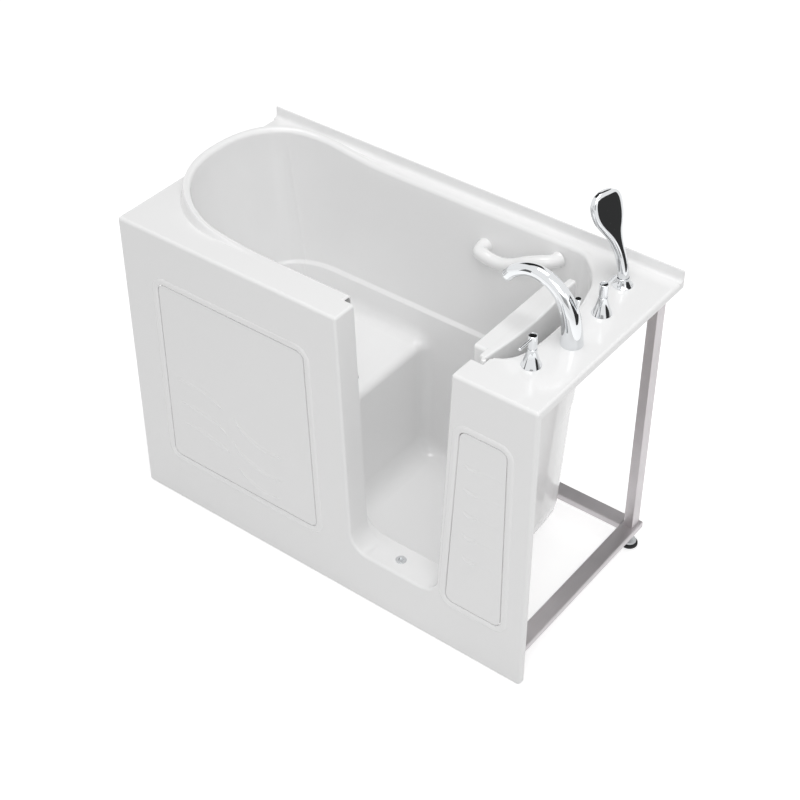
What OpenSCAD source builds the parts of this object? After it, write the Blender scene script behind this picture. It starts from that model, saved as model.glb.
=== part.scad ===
// Walk-in jetted bathtub: a moulded shell on a steel frame, with an inward-opening door, deck taps,
// a hand shower, a grab bar, and a pump with jets.
// Origin: the middle of the footprint at floor level. +X runs right along the front, the front is -Y, +Z is up.
// The door is modelled open, at a right angle to the front.

/* [Overall] */
// Length of the tub along the front
tub_l = 1346; // [1300:1:1400]
// Depth from the apron's face to the rear edge
tub_w = 660; // [640:1:690]
// Height of the deck above the floor
deck_h = 940; // [915:1:965]

/* [Shell] */
// Thickness of the moulded shell
wall = 6; // [5:0.5:7]
// Radius of the deck's outer edges
edge_r = 10; // [9:0.5:12]
// Depth of the lip that turns down at the deck's ends
lip_h = 20; // [14:1:30]
// Height of the tile flange above the deck
flange_h = 32; // [24:1:45]
// Gap between the apron's lower edge and the floor
apron_gap = 3; // [2:0.5:8]

/* [Well] */
// Front of the well's wall, behind the apron's face
well_front = 107; // [105:1:110]
// Rear of the well's wall, in from the rear edge
well_rear = 48; // [46:1:52]
// Left end of the well's wall, in from the tub's end
well_left = 30; // [28:1:36]
// Right end of the well's wall, in from the tub's end
well_right = 153; // [150:1:156]
// Radius of the rim's rounded edge
rim_r = 14; // [11:0.5:16]
// Width of the rim's flat band outside its rounded edge
band_w = 15; // [12:0.5:15]
// Height of the raised headrest above the deck
head_h = 45; // [25:1:60]
// Height of the ledge on the rear wall
ledge_z = 550; // [535:1:570]
// Depth of that ledge
ledge_d = 15; // [10:1:20]
// Height of the seat
seat_z = 450; // [440:1:462]
// Height of the footwell's floor
floor_z = 60; // [60:1:64]
// Place of the seat's front edge, left of the middle
seat_edge = 73; // [60:1:85]
// Radius of the seat's front edge
seat_r = 25; // [18:1:32]

/* [Doorway] */
// Width of the doorway at the deck
door_w = 355; // [350:1:360]
// Right side of the doorway at the deck, in from the tub's end
door_in = 247; // [244:1:249]
// How far each side leans inwards at the sill
door_lean = 33; // [26:1:38]
// Height of the sill
sill_z = 168; // [162:1:174]
// Radius of the doorway's lower corners
sill_r = 55; // [45:1:60]
// Width of the rebate that the door's flange seats in
rebate_w = 34; // [33:0.5:35]
// Depth of that rebate, behind the apron's face
rebate_y = 74; // [72:0.5:76]

/* [Door] */
// Running gap between the door and its surround
door_gap = 5; // [4:0.5:6]
// Thickness of the door's flange
door_flange_t = 20; // [18:0.5:21]
// Bulge of the door's inner face
door_bulge = 13; // [8:0.5:15]
// Depth of the door's outer shell
door_plug_d = 36; // [30:1:40]
// Radius of the hinge pin
pin_r = 3; // [2.5:0.1:3.5]
// Length of each hinge
hinge_l = 90; // [70:1:110]

/* [Panels] */
// Height of the rounded bead round each access panel
bead_h = 4; // [3:0.5:5]
// Width of that bead
bead_w = 18; // [14:1:20]
// Gap round each access panel
panel_gap = 2.5; // [1.5:0.1:3]
// Thickness of the access panels
panel_t = 5; // [4:0.5:6]
// Height of the moulded waves on the panels
wave_h = 2.5; // [1.5:0.1:3.5]

/* [Frame] */
// Width of the bottom rails
rail_w = 48; // [40:1:50]
// Height of the bottom rails
rail_t = 22; // [18:1:25]
// Wall of the steel tubes
tube_t = 2; // [1.5:0.1:3]
// Width of the corner posts
post_w = 30; // [25:1:34]
// Depth of the corner posts
post_d = 38; // [30:1:40]
// Height of the levelling feet, from the floor to the rails
foot_h = 58; // [50:1:60]
// Travel of the levelling feet
foot_travel = 12; // [6:1:14]

/* [Fittings] */
// Height of the tap skirts
skirt_h = 50; // [42:1:58]
// Radius of the tap skirts at the deck
skirt_r = 26; // [22:1:28]
// Reach of the tap levers
lever_l = 58; // [45:1:64]
// Reach of the spout
spout_reach = 195; // [170:1:215]
// Height of the spout above the deck
spout_h = 166; // [150:1:190]
// Radius of the spout's body at its base
spout_r = 27; // [24:1:29]
// Radius of the grab bar
grab_r = 19; // [15:0.5:20]
// Diameter of the hand shower's head
head_d = 100; // [92:1:106]
// Outside diameter of the water inlets
inlet_d = 21; // [18:0.5:26]
// Outside diameter of the waste outlet
waste_d = 40; // [32:1:42]

/* [Jets and pump] */
// Radius of the pump's motor
motor_r = 62; // [55:1:68]
// Length of the pump's motor
motor_l = 190; // [160:1:210]
// Radius of the jets' faces
jet_r = 30; // [24:1:34]
// Outside diameter of the water pipes
pipe_d = 32; // [28:1:36]

/* [Hidden] */

// One overrun for every cut
over = 1;
// Clearance of a piece at rest against its seat
seat_gap = 0.3;
// Running clearance of a shaft in its bore
run_gap = 0.1;
round_fn = 48;

// Faces of the whole tub
face_y = bead_h - (tub_w + bead_h) / 2;
rear_y = face_y + tub_w;
left_x = -tub_l / 2;
right_x = tub_l / 2;
deck_low = deck_h - wall;
// Sides of the doorway at the deck
door_right = right_x - door_in;
door_left = door_right - door_w;

// Sides of the well at the deck, on its wall's inner face
well_y0 = face_y + well_front;
well_y1 = rear_y - well_rear;
well_x0 = left_x + well_left;
well_x1 = right_x - well_right;
well_mid = (well_y0 + well_y1) / 2;
// Lengths of the well's rounded ends, and their middles from the tub's middle
end_left_run = 243;
end_right_run = 220;
end_left = -well_x0 - end_left_run;
end_right = well_x1 - end_right_run;
// Powers of the four rounded corners: a power of 2 is an ellipse, and more is squarer
power_front_left = 2;
power_rear_left = 2.4;
power_front_right = 5;
power_rear_right = 2.3;
// How far each side of the well leans in per unit of depth
lean_left_share = 0.11;
lean_right_share = 0.062;
lean_rear_share = 0.057;
lean_low_share = 0.03;
// Radii where the walls meet the bottom
fillet_side = 40;
fillet_left = 70;
fillet_right = 158;
// Radius where the seat's riser meets the floor, and height of the ledge's rounding
riser_r = 60;
riser_draft = 8;
ledge_run = 24;
// Place where the headrest's rise begins
head_start = 250;

// Steps of the well's mesh
end_steps = 8;
flat_steps = 6;
curve_steps = 5;
fillet_steps = 4;

function mix(a, b, t) = a + (b - a) * t;
function clamp01(t) = min(1, max(0, t));
function smooth(t) = let (c = clamp01(t)) c * c * (3 - 2 * c);
function signed_pow(v, p) = sign(v) * pow(abs(v), p);

// The bottom's side view along the straight part: the seat, its rounded edge, the riser and the floor.
// Each entry is a point [x, z] and the way out of the material there [nx, nz].
function spine_point(i) =
    let (a0 = flat_steps, a1 = a0 + curve_steps, a2 = a1 + 1, a3 = a2 + curve_steps)
    i <= a0 ? [[mix(-end_left, -seat_edge - seat_r, i / a0), seat_z], [0, 1]]
    : i <= a1 ? let (t = 90 * (i - a0) / curve_steps)
        [[-seat_edge - seat_r + seat_r * sin(t), seat_z - seat_r + seat_r * cos(t)], [sin(t), cos(t)]]
    : i < a2 + 1 ? [[riser_foot, floor_z + riser_r], [1, 0]]
    : i <= a3 ? let (t = 90 * (i - a2) / curve_steps)
        [[riser_foot + riser_r - riser_r * cos(t), floor_z + riser_r - riser_r * sin(t)],
            [cos(t), sin(t)]]
    : [[mix(riser_foot + riser_r, end_right, (i - a3) / flat_steps), floor_z], [0, 1]];
riser_foot = riser_draft - seat_edge;
spine_steps = 2 * flat_steps + 2 * curve_steps + 1;
loop_n = 2 * spine_steps + 4 * end_steps;

// One position on the loop: [kind, share along it, front or rear]. Kinds: 0 front, 1 right end, 2 rear, 3 left end.
function loop_at(k) =
    k < spine_steps ? [0, k]
    : k < spine_steps + 2 * end_steps ? [1, (k - spine_steps) * 90 / end_steps - 90]
    : k < 2 * spine_steps + 2 * end_steps ? [2, 2 * spine_steps + 2 * end_steps - k]
    : [3, 90 + (k - 2 * spine_steps - 2 * end_steps) * 90 / end_steps];

// Inner sides of the well at height z, grown outwards by g
function side_left(z, g) = well_x0 + lean_left_share * (deck_h - z) - g;
function side_right(z, g) = well_x1 - lean_right_share * (deck_h - z) + g;
function side_front(z, g) = well_y0 - g;
function ledge_in(z) = smooth((ledge_z - z) / ledge_run + 0.5);
function side_rear(z, g) = well_y1 - lean_rear_share * (deck_h - max(z, ledge_z))
    - lean_low_share * max(0, ledge_z - z) - ledge_d * ledge_in(z) + g;

// Rise of the rim above the deck at x
function rise(x) = head_h * smooth((-head_start - x) / (-head_start - left_x));

// Where the loop stands in plan for sides [left, right, front, rear] and position p = loop_at(k)
function plan_at(p, s, x_flat) =
    p[0] == 0 ? [x_flat, s[2]]
    : p[0] == 2 ? [x_flat, s[3]]
    : let (c = cos(p[1]), q = sin(p[1]),
        n = p[0] == 1 ? (q < 0 ? power_front_right : power_rear_right)
            : (q < 0 ? power_front_left : power_rear_left),
        a = p[0] == 1 ? s[1] - end_right : -end_left - s[0],
        b = q < 0 ? well_mid - s[2] : s[3] - well_mid,
        x0 = p[0] == 1 ? end_right : -end_left)
        [x0 + a * signed_pow(c, 2 / n), well_mid + b * signed_pow(q, 2 / n)];

// Share of the long fillet at a position on a rounded end
function end_share(p) = p[0] == 0 || p[0] == 2 ? 0 : pow(cos(p[1]), 2);
function even_x(i) = mix(-end_left, end_right, i / spine_steps);

// A point of the wall at height z, with the loop's flat points shifting from even steps to the spine's
function wall_point(k, z, g) =
    let (p = loop_at(k), sp = spine_point(p[1]), flat = p[0] == 0 || p[0] == 2,
        t = smooth((deck_h - z) / (deck_h - ledge_z)),
        xs = flat ? mix(even_x(p[1]), sp[0][0] + fillet_side * sp[1][0], t) : 0,
        q = plan_at(p, [side_left(z, g), side_right(z, g), side_front(z, g), side_rear(z, g)], xs))
    [q[0], q[1], z];

// A point of the rim: w is the distance outside the wall, and down the depth below the deck
function rim_point(k, w, down) =
    let (q = wall_point(k, deck_h, w)) [q[0], q[1], deck_h - down];
function lifted(q) = [q[0], q[1], q[2] + rise(q[0])];

// A point of the bottom's fillet: turn runs from 0 at the wall to 90 at the bottom
function fillet_point(k, turn, g) =
    let (p = loop_at(k), flat = p[0] == 0 || p[0] == 2)
    flat ? let (sp = spine_point(p[1]), r = fillet_side + g, h = r * (1 - sin(turn)),
            z = sp[0][1] + (h - g) * sp[1][1], x = sp[0][0] + (h - g) * sp[1][0],
            draw = r * (1 - cos(turn)))
        [x, p[0] == 0 ? side_front(z, g) + draw : side_rear(z, g) - draw, z]
    : let (low = p[0] == 1 ? floor_z : seat_z, far = p[0] == 1 ? fillet_right : fillet_left,
            r = mix(fillet_side, far, end_share(p)) + g,
            z = low - g + r * (1 - sin(turn)), near = (fillet_side + g) * (1 - cos(turn)),
            long = (far + g) * (1 - cos(turn)),
            q = plan_at(p, [side_left(z, g) + long, side_right(z, g) - long, side_front(z, g) + near,
                side_rear(z, g) - near], 0))
        [q[0], q[1], z];

// Heights of the wall's loops between the rim's rounding and the bottom's fillet
wall_levels = [deck_h - 2 * rim_r, mix(deck_h, ledge_z, 0.5), ledge_z + ledge_run];
ledge_levels = [for (s = [0.35, 0.12, -0.12, -0.35]) ledge_z + s * ledge_run];

// Loops of one skin of the well, from the rim down; g is 0 for the inner skin and the wall for the outer one
function rim_loops(g) = [for (turn = [90, 60, 30, 0]) [for (k = [0:loop_n - 1])
    lifted(rim_point(k, rim_r - (rim_r - g) * cos(turn), rim_r - (rim_r - g) * sin(turn)))]];
function band_loops(g) = g == 0
    ? [[for (k = [0:loop_n - 1]) rim_point(k, rim_r + band_w, 0)],
        [for (k = [0:loop_n - 1]) lifted(rim_point(k, rim_r + band_w / 2, 0))]]
    : [[for (k = [0:loop_n - 1]) rim_point(k, rim_r + band_w, wall)],
        [for (k = [0:loop_n - 1]) lifted(rim_point(k, rim_r + band_w / 3, wall))]];
function wall_loops(g) = [for (z = concat(wall_levels, ledge_levels)) [for (k = [0:loop_n - 1])
    wall_point(k, z, g)]];
function fillet_loops(g) = [for (s = [0:fillet_steps]) [for (k = [0:loop_n - 1])
    fillet_point(k, 90 * s / fillet_steps, g)]];
function skin_loops(g) = concat(band_loops(g), rim_loops(g), wall_loops(g), fillet_loops(g));

// Opposite point on the loop, front to rear
function mirror_k(k) = k <= spine_steps + end_steps ? 2 * spine_steps + 2 * end_steps - k
    : (2 * spine_steps + 2 * end_steps + loop_n - k) % loop_n;
// Triangles of the bottom inside the last loop: strips from front to rear
function bottom_faces(base) = concat(
    [for (k = [0:spine_steps + end_steps - 1]) let (a = base + k, b = base + k + 1,
        c = base + mirror_k(k + 1), d = base + mirror_k(k))
        each (b == c ? [[a, b, d]] : [[a, b, c], [a, c, d]])],
    [for (j = [0:end_steps - 1]) let (k = loop_n - 1 - j, a = base + (j == 0 ? 0 : loop_n - j),
        b = base + k, c = base + 2 * spine_steps + 2 * end_steps + j + 1,
        d = base + 2 * spine_steps + 2 * end_steps + j)
        each (b == c ? [[d, b, a]] : [[d, c, b], [d, b, a]])]);
function turned(faces) = [for (f = faces) [f[0], f[2], f[1]]];
function ring_faces(rows) = [for (r = [0:rows - 2], k = [0:loop_n - 1])
    let (a = r * loop_n + k, b = r * loop_n + (k + 1) % loop_n)
    each [[a, b, b + loop_n], [a, b + loop_n, a + loop_n]]];

module well_shell() {
    inner = skin_loops(0);
    outer = skin_loops(wall);
    rows = len(inner);
    points = concat([for (l = inner) each l], [for (l = outer) each l]);
    shift = rows * loop_n;
    inner_faces = concat(ring_faces(rows), bottom_faces((rows - 1) * loop_n));
    outer_faces = [for (f = turned(inner_faces)) [f[0] + shift, f[1] + shift, f[2] + shift]];
    edge = [for (k = [0:loop_n - 1]) let (m = (k + 1) % loop_n)
        each [[k, k + shift, m + shift], [k, m + shift, m]]];
    polyhedron(points, concat(turned(inner_faces), turned(outer_faces), turned(edge)));
}

// Outline of the doorway, seen from the front, drawn in by d on every side: [x, z] points from the top left down
door_mid = (door_left + door_right) / 2;
corner_steps = 6;
function doorway(d, low, r, top, right_lean) =
    let (x0 = door_left + d, x1 = door_right - d,
        lean = door_lean * (top - low) / (deck_h - sill_z),
        lean1 = right_lean * (top - low) / (deck_h - sill_z),
        a = atan(lean / (top - low)), a1 = atan(lean1 / (top - low)))
    concat([[x0, top]],
        [for (s = [0:corner_steps]) let (t = 180 + (90 * s / corner_steps))
            [x0 + lean + r + r * cos(t) - (r + r * sin(t)) * sin(a), low + r + r * sin(t)]],
        [for (s = [0:corner_steps]) let (t = 270 + (90 * s / corner_steps))
            [x1 - lean1 - r + r * cos(t) + (r + r * sin(t)) * sin(a1), low + r + r * sin(t)]],
        [[x1, top]]);

// Cut or block of an outline [x, z] between two distances y0 and y1
module front_block(points, y0, y1) {
    translate([0, y1, 0]) rotate([90, 0, 0]) linear_extrude(y1 - y0) polygon(points);
}

// Depths of the doorway, from the front: the rebate's face and the well's wall
rebate_face = face_y + rebate_y;
rebate_low = sill_z - wall;
rebate_r = sill_r + rebate_w / 2;
well_out = well_y0 - wall;

module doorway_cut(d, y0, y1) {
    front_block(doorway(d, sill_z + d, sill_r - min(d, 0), deck_h + flange_h, door_lean), y0, y1);
}
module rebate_cut(d, y0, y1) {
    front_block(doorway(d - rebate_w, rebate_low + d, rebate_r - min(d, 0), deck_h + flange_h, 0), y0, y1);
}
// The same behind the surround, with a square lower corner in which the door's flange turns
module pocket_cut(d, y0, y1) {
    intersection() {
        front_block(doorway(d - rebate_w, rebate_low + d, pocket_r - min(d, 0), deck_h + flange_h, 0), y0, y1);
        translate([door_mid, y0 - over, 0]) cube([tub_w, y1 - y0 + 2 * over, deck_h + 2 * flange_h]);
    }
}

// The space inside the well, grown by g, up to a flat top
module well_space(g) {
    rows_in = concat(rim_loops(g), wall_loops(g), fillet_loops(g));
    top = [for (q = rows_in[0]) [q[0], q[1], deck_h + head_h + flange_h]];
    loops = concat([top], rows_in);
    last = (len(loops) - 1) * loop_n;
    polyhedron([for (l = loops) each l],
        concat(ring_faces(len(loops)), bottom_faces(last), turned(bottom_faces(0))));
}
// Walls of the hinge pocket, from the doorway's surround back to the well's rounded corner
pocket_d = 60;
pocket_r = 8;
pocket_y = well_y0 + pocket_d;
module hinge_pocket() {
    difference() {
        intersection() {
            pocket_cut(-wall, well_y0, pocket_y);
            translate([door_mid, well_y0, 0]) cube([tub_w, tub_w, deck_h]);
        }
        well_space(wall / 3);
    }
}
module basin() {
    color("white") difference() {
        union() {
            well_shell();
            hinge_pocket();
        }
        rebate_cut(-wall, face_y, well_y0);
        rebate_cut(0, well_y0 - over, well_y0 + over);
        pocket_cut(0, well_y0, pocket_y + over);
        drain_cut();
        suction_cut();
        jet_cuts();
    }
}

// Deck

// Thickness and foot radius of the tile flange
flange_t = 6;
cove_r = 12;
nub = 4;

// Plan of the well's rim band
module rim_plan() {
    polygon([for (k = [0:loop_n - 1]) let (q = rim_point(k, rim_r + band_w, 0)) [q[0], q[1]]]);
}
// Quarter of a round edge, with its middle at the origin
module edge_section() {
    intersection() {
        difference() {
            circle(edge_r, $fn = round_fn);
            circle(edge_r - wall, $fn = round_fn);
        }
        square(edge_r);
    }
}
module deck_edges() {
    low = deck_h - edge_r;
    // Front edge
    translate([left_x + edge_r, face_y + edge_r, low]) rotate([90, 0, 90]) mirror([1, 0, 0])
        linear_extrude(tub_l - 2 * edge_r) edge_section();
    for (side = [0, 1]) mirror([side, 0, 0]) {
        // End edge and the lip below it
        translate([right_x - edge_r, face_y + edge_r, low]) rotate([90, 0, 0]) mirror([0, 0, 1])
            linear_extrude(tub_w - edge_r) edge_section();
        translate([right_x - wall, face_y + edge_r, deck_h - lip_h])
            cube([wall, tub_w - edge_r, lip_h - edge_r]);
        // Front corner
        translate([right_x - edge_r, face_y + edge_r, low]) intersection() {
            difference() {
                sphere(edge_r, $fn = round_fn);
                sphere(edge_r - wall, $fn = round_fn);
            }
            translate([0, -edge_r, 0]) cube(edge_r);
        }
    }
}
module deck() {
    color("white") difference() {
        union() {
            translate([left_x + edge_r, face_y + edge_r, deck_low])
                cube([tub_l - 2 * edge_r, tub_w - edge_r, wall]);
            deck_edges();
            // Tile flange with its cove
            translate([left_x, rear_y - flange_t, deck_low]) cube([tub_l, flange_t, flange_h + wall]);
            translate([left_x, rear_y - flange_t - cove_r, deck_h]) difference() {
                cube([tub_l, cove_r, cove_r]);
                translate([-over, 0, cove_r]) rotate([0, 90, 0])
                    cylinder(h = tub_l + 2 * over, r = cove_r, $fn = round_fn);
            }
        }
        translate([0, 0, deck_low - lip_h]) linear_extrude(lip_h + wall + flange_h) rim_plan();
        doorway_cut(-wall, face_y - over, rebate_face);
        rebate_cut(-wall, rebate_face - wall, well_y0);
        for (t = fitting_spots) translate([t[0], t[1], deck_low - over])
            cylinder(h = wall + 2 * over, r = shank_r + seat_gap, $fn = round_fn);
    }
}

// Apron

apron_low = apron_gap;
apron_top = deck_h - edge_r;
apron_r = 14;
apron_back = face_y + wall;
// Depth of the strip that turns back at the apron's ends
return_d = 3;

// Corners of the access panels: [x, z] from the lower left, anticlockwise
panel_low = 177;
panel_down = 162;
panel_top = deck_h - panel_down;
// Distances of those corners from the tub's ends and from the doorway's sides at the deck
panel_end = 129;
left_panel_low_in = 88;
left_panel_top_in = 111;
right_panel_low_in = 3;
right_panel_top_in = 29;
right_end_low_in = 76;
right_end_top_in = 81;
left_panel_x = [left_x + panel_end, door_left - left_panel_low_in, door_left - left_panel_top_in,
    left_x + panel_end];
right_panel_x = [door_right - right_panel_low_in, right_x - right_end_low_in, right_x - right_end_top_in,
    door_right + right_panel_top_in];
function panel_corners(x) = [[x[0], panel_low], [x[1], panel_low], [x[2], panel_top], [x[3], panel_top]];
left_panel = panel_corners(left_panel_x);
right_panel = panel_corners(right_panel_x);
panel_r = 22;

// Rounded polygon: points of a convex outline, with arcs of radius r, grown outwards by d
function unit(v) = v / norm(v);
function corner_arc(a, b, c, r) =
    let (u = unit(a - b), v = unit(c - b), half = acos(u * v) / 2, m = unit(u + v),
        o = b + m * (r / sin(half)), s = atan2(-v[0], v[1]), span = 180 - 2 * half,
        s0 = atan2(m[1], m[0]) + 180 - span / 2)
    [for (i = [0:corner_steps]) o + r * [cos(s0 + span * i / corner_steps),
        sin(s0 + span * i / corner_steps)]];
function grown(pts, d) = [for (i = [0:len(pts) - 1])
    let (a = pts[(i + len(pts) - 1) % len(pts)], b = pts[i], c = pts[(i + 1) % len(pts)],
        u = unit(a - b), v = unit(c - b), half = acos(u * v) / 2)
    b - unit(u + v) * (d / sin(half))];
function rounded(pts, r, d) = let (g = grown(pts, d)) [for (i = [0:len(g) - 1])
    each corner_arc(g[(i + len(g) - 1) % len(g)], g[i], g[(i + 1) % len(g)], r + d)];

bead_shares = [[0, 0.5], [0.12, 0.85], [0.25, 1]];
module bead(pts) {
    // Three steps stand for the bead's rounded section
    for (s = bead_shares) difference() {
        front_block(rounded(pts, panel_r, panel_gap + bead_w * (1 - s[0])), face_y - bead_h * s[1], face_y);
        front_block(rounded(pts, panel_r, panel_gap + bead_w * s[0]), face_y - bead_h * s[1] - over,
            face_y + over);
    }
}
module front_apron() {
    color("white") difference() {
        union() {
            front_block([[left_x + edge_r, apron_low], [right_x - edge_r, apron_low],
                [right_x - edge_r, apron_top], [left_x + edge_r, apron_top]], face_y, apron_back);
            for (side = [0, 1]) mirror([side, 0, 0]) {
                translate([right_x - edge_r, face_y + edge_r, apron_low]) mirror([0, 1, 0])
                    linear_extrude(apron_top - apron_low) edge_section();
                translate([right_x - wall, face_y + edge_r, apron_low])
                    cube([wall, return_d, apron_top - apron_low - lip_h + edge_r - seat_gap]);
            }
            bead(left_panel);
            bead(right_panel);
        }
        for (side = [0, 1]) mirror([side, 0, 0]) apron_corner_cut();
        doorway_cut(-wall, face_y - over - bead_h, apron_back + over);
        for (pts = [left_panel, right_panel])
            front_block(rounded(pts, panel_r, panel_gap), face_y - over - bead_h, apron_back + over);
    }
}
// Rounds the apron's lower corner, seen from the front
module apron_corner_cut() {
    translate([right_x - apron_r, face_y - over, apron_low + apron_r]) rotate([-90, 0, 0]) difference() {
        cube([apron_r + over, apron_r + over, return_d + edge_r + 2 * over]);
        translate([0, 0, -over]) cylinder(h = return_d + edge_r + 4 * over, r = apron_r, $fn = round_fn);
    }
}

// Doorway surround: two jambs and a sill, with a rebate for the door's flange
module door_surround() {
    top = [[left_x, deck_h], [right_x, deck_h], [right_x, deck_h + 2 * flange_h],
        [left_x, deck_h + 2 * flange_h]];
    color("white") difference() {
        union() {
            doorway_cut(-wall, face_y, rebate_face);
            rebate_cut(-wall, rebate_face - wall, well_y0);
        }
        doorway_cut(0, face_y - over, rebate_face + over);
        rebate_cut(0, rebate_face, well_y0 + over);
        front_block(top, face_y - over, well_y0 + over);
        translate([sill_x, sill_y, sill_z - wall - over])
            cylinder(h = wall + 2 * over, r = sill_drain_r - sill_drain_lip, $fn = round_fn);
    }
}

// Access panels and their clips

// Waves on the left panel: pairs of curved outlines, as shares of the panel's width and height.
// Each wave is [start, bend, end, width share].
wave_shares = [
    [[0.062, 0.485], [0.215, 0.535], [0.395, 0.432], 0.022],
    [[0.081, 0.354], [0.240, 0.385], [0.416, 0.284], 0.020],
    [[0.087, 0.227], [0.250, 0.275], [0.436, 0.180], 0.018],
    [[0.467, 0.427], [0.560, 0.330], [0.817, 0.320], 0.020],
    [[0.446, 0.284], [0.560, 0.165], [0.806, 0.180], 0.022],
    [[0.462, 0.129], [0.570, 0.015], [0.785, 0.057], 0.020]];
wave_steps = 8;
function bezier(a, b, c, t) = mix(mix(a, b, t), mix(b, c, t), t);
function panel_point(s) = [mix(left_panel[0][0], left_panel[1][0], s[0]),
    mix(left_panel[0][1], left_panel[3][1], s[1])];
function wave_outline(w) =
    let (a = panel_point(w[0]), b = panel_point(w[1]), c = panel_point(w[2]),
        half = w[3] * (left_panel[3][1] - left_panel[0][1]))
    concat([for (i = [0:wave_steps]) bezier(a, b, c, i / wave_steps)],
        [for (i = [1:wave_steps - 1]) let (t = 1 - i / wave_steps)
            bezier(a, b, c, t) - [0, half * sin(180 * t)]]);
// Ripples on the right panel: their number, and the place of each as shares of the panel
ripples = 5;
ripple_first_share = 0.828;
ripple_step_share = 0.1306;
ripple_x_shares = [0.28, 0.42, 0.56];
ripple_drop_share = 0.025;
function right_point(s) = [mix(right_panel[0][0], right_panel[1][0], s[0]),
    mix(right_panel[0][1], right_panel[3][1], s[1])];
function ripple_outline(n) =
    let (z = ripple_first_share - ripple_step_share * n, d = ripple_drop_share,
        a = right_point([ripple_x_shares[0], z]), b = right_point([ripple_x_shares[1], z - 2 * d]),
        c = right_point([ripple_x_shares[2], z]),
        half = d * (right_panel[3][1] - right_panel[0][1]) / 2)
    concat([for (i = [0:wave_steps]) bezier(a, b, c, i / wave_steps)],
        [for (i = [1:wave_steps - 1]) let (t = 1 - i / wave_steps)
            bezier(a, b, c, t) - [0, half * sin(180 * t)]]);

module left_access_panel() {
    color("white") {
        front_block(rounded(left_panel, panel_r, 0), face_y, face_y + panel_t);
        for (w = wave_shares) front_block(wave_outline(w), face_y - wave_h, face_y + panel_t / 2);
    }
}
module right_access_panel() {
    color("white") {
        front_block(rounded(right_panel, panel_r, 0), face_y, face_y + panel_t);
        for (n = [0:ripples - 1])
            front_block(ripple_outline(n), face_y - wave_h, face_y + panel_t / 2);
    }
}
// Spring clips behind each panel: they bridge the gap to the apron
clip_w = 16;
clip_reach = 18;
clip_t = 2;
clip_inset_share = 0.25;
module panel_clips() {
    color("silver") for (pts = [left_panel, right_panel], low = [true, false], s = [0, 1]) {
        a = low ? pts[0] : pts[3];
        b = low ? pts[1] : pts[2];
        at = mix(a, b, mix(clip_inset_share, 1 - clip_inset_share, s));
        dz = low ? -clip_reach / 2 - panel_gap : -clip_reach / 2 + panel_gap;
        translate([at[0] - clip_w / 2, apron_back, at[1] + dz]) cube([clip_w, clip_t, clip_reach]);
        translate([at[0] - clip_w / 2, face_y + panel_t, low ? at[1] : at[1] - clip_reach / 2 + panel_gap])
            cube([clip_w, wall - panel_t + over / 2, clip_reach / 2 - panel_gap]);
    }
}

// Steel frame

rail_low = foot_h;
rail_top = foot_h + rail_t;
rail_in = 30;
rail_behind = 12;
post_in = 6;
rail_x = right_x - rail_in;
rail_rear = rear_y;
rail_front = face_y + rail_behind;
post_x = rail_x - rail_w / 2;
post_y1 = rail_rear - post_in;
post_y0 = rail_front + post_in;
foot_x = post_x;
foot_y1 = post_y1 - post_d / 2;
foot_y0 = post_y0 + post_d / 2;

// Rectangular tube along x with its low corner at the origin
module tube_x(l, w, h) {
    difference() {
        cube([l, w, h]);
        translate([-over, tube_t, tube_t]) cube([l + 2 * over, w - 2 * tube_t, h - 2 * tube_t]);
    }
}
module tube_y(l, w, h) {
    difference() {
        cube([w, l, h]);
        translate([tube_t, -over, tube_t]) cube([w - 2 * tube_t, l + 2 * over, h - 2 * tube_t]);
    }
}
module tube_z(l, w, d) {
    difference() {
        cube([w, d, l]);
        translate([tube_t, tube_t, -over]) cube([w - 2 * tube_t, d - 2 * tube_t, l + 2 * over]);
    }
}
module front_rail() {
    color("gray") translate([-rail_x + rail_w, rail_front, rail_low])
        tube_x(2 * (rail_x - rail_w), rail_w, rail_t);
}
module rear_rail() {
    color("gray") translate([-rail_x + rail_w, rail_rear - rail_w, rail_low])
        tube_x(2 * (rail_x - rail_w), rail_w, rail_t);
}
module end_rail() {
    difference() {
        translate([rail_x - rail_w, rail_front, rail_low])
            tube_y(rail_rear - rail_front, rail_w, rail_t);
        for (y = [foot_y0, foot_y1]) translate([foot_x, y, rail_low - over])
            cylinder(h = tube_t + 2 * over, r = stud_r + seat_gap, $fn = round_fn);
    }
}
module left_rail() {
    color("gray") mirror([1, 0, 0]) end_rail();
}
module right_rail() {
    color("gray") end_rail();
}
module corner_posts() {
    color("gray") for (side = [0, 1]) mirror([side, 0, 0])
        for (y = [post_y0, post_y1 - post_d]) translate([post_x - post_w / 2, y, rail_top])
            tube_z(deck_low - rail_top, post_w, post_d);
}
// Rail between the right posts' tops, under the deck's end
top_rail_w = 22;
top_rail_h = 20;
module top_rail() {
    color("gray") translate([post_x + post_w / 2 - top_rail_w, post_y0 + post_d, deck_low - top_rail_h])
        tube_y(post_y1 - post_y0 - 2 * post_d, top_rail_w, top_rail_h);
}
// Two frames that carry the seat on the front and rear rails
bearer_w = 30;
bearer_h = 25;
bearer_x = [-500, -150];
leg_inset = 10;
module seat_frames() {
    low = seat_z - wall - bearer_h;
    y0 = rail_front + leg_inset;
    y1 = rail_rear - leg_inset - bearer_w;
    color("gray") for (x = bearer_x) translate([x - bearer_w / 2, 0, 0]) {
        translate([0, y0, low]) tube_y(y1 + bearer_w - y0, bearer_w, bearer_h);
        for (y = [y0, y1]) translate([0, y, rail_top]) tube_z(low - rail_top, bearer_w, bearer_w);
    }
}
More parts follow.
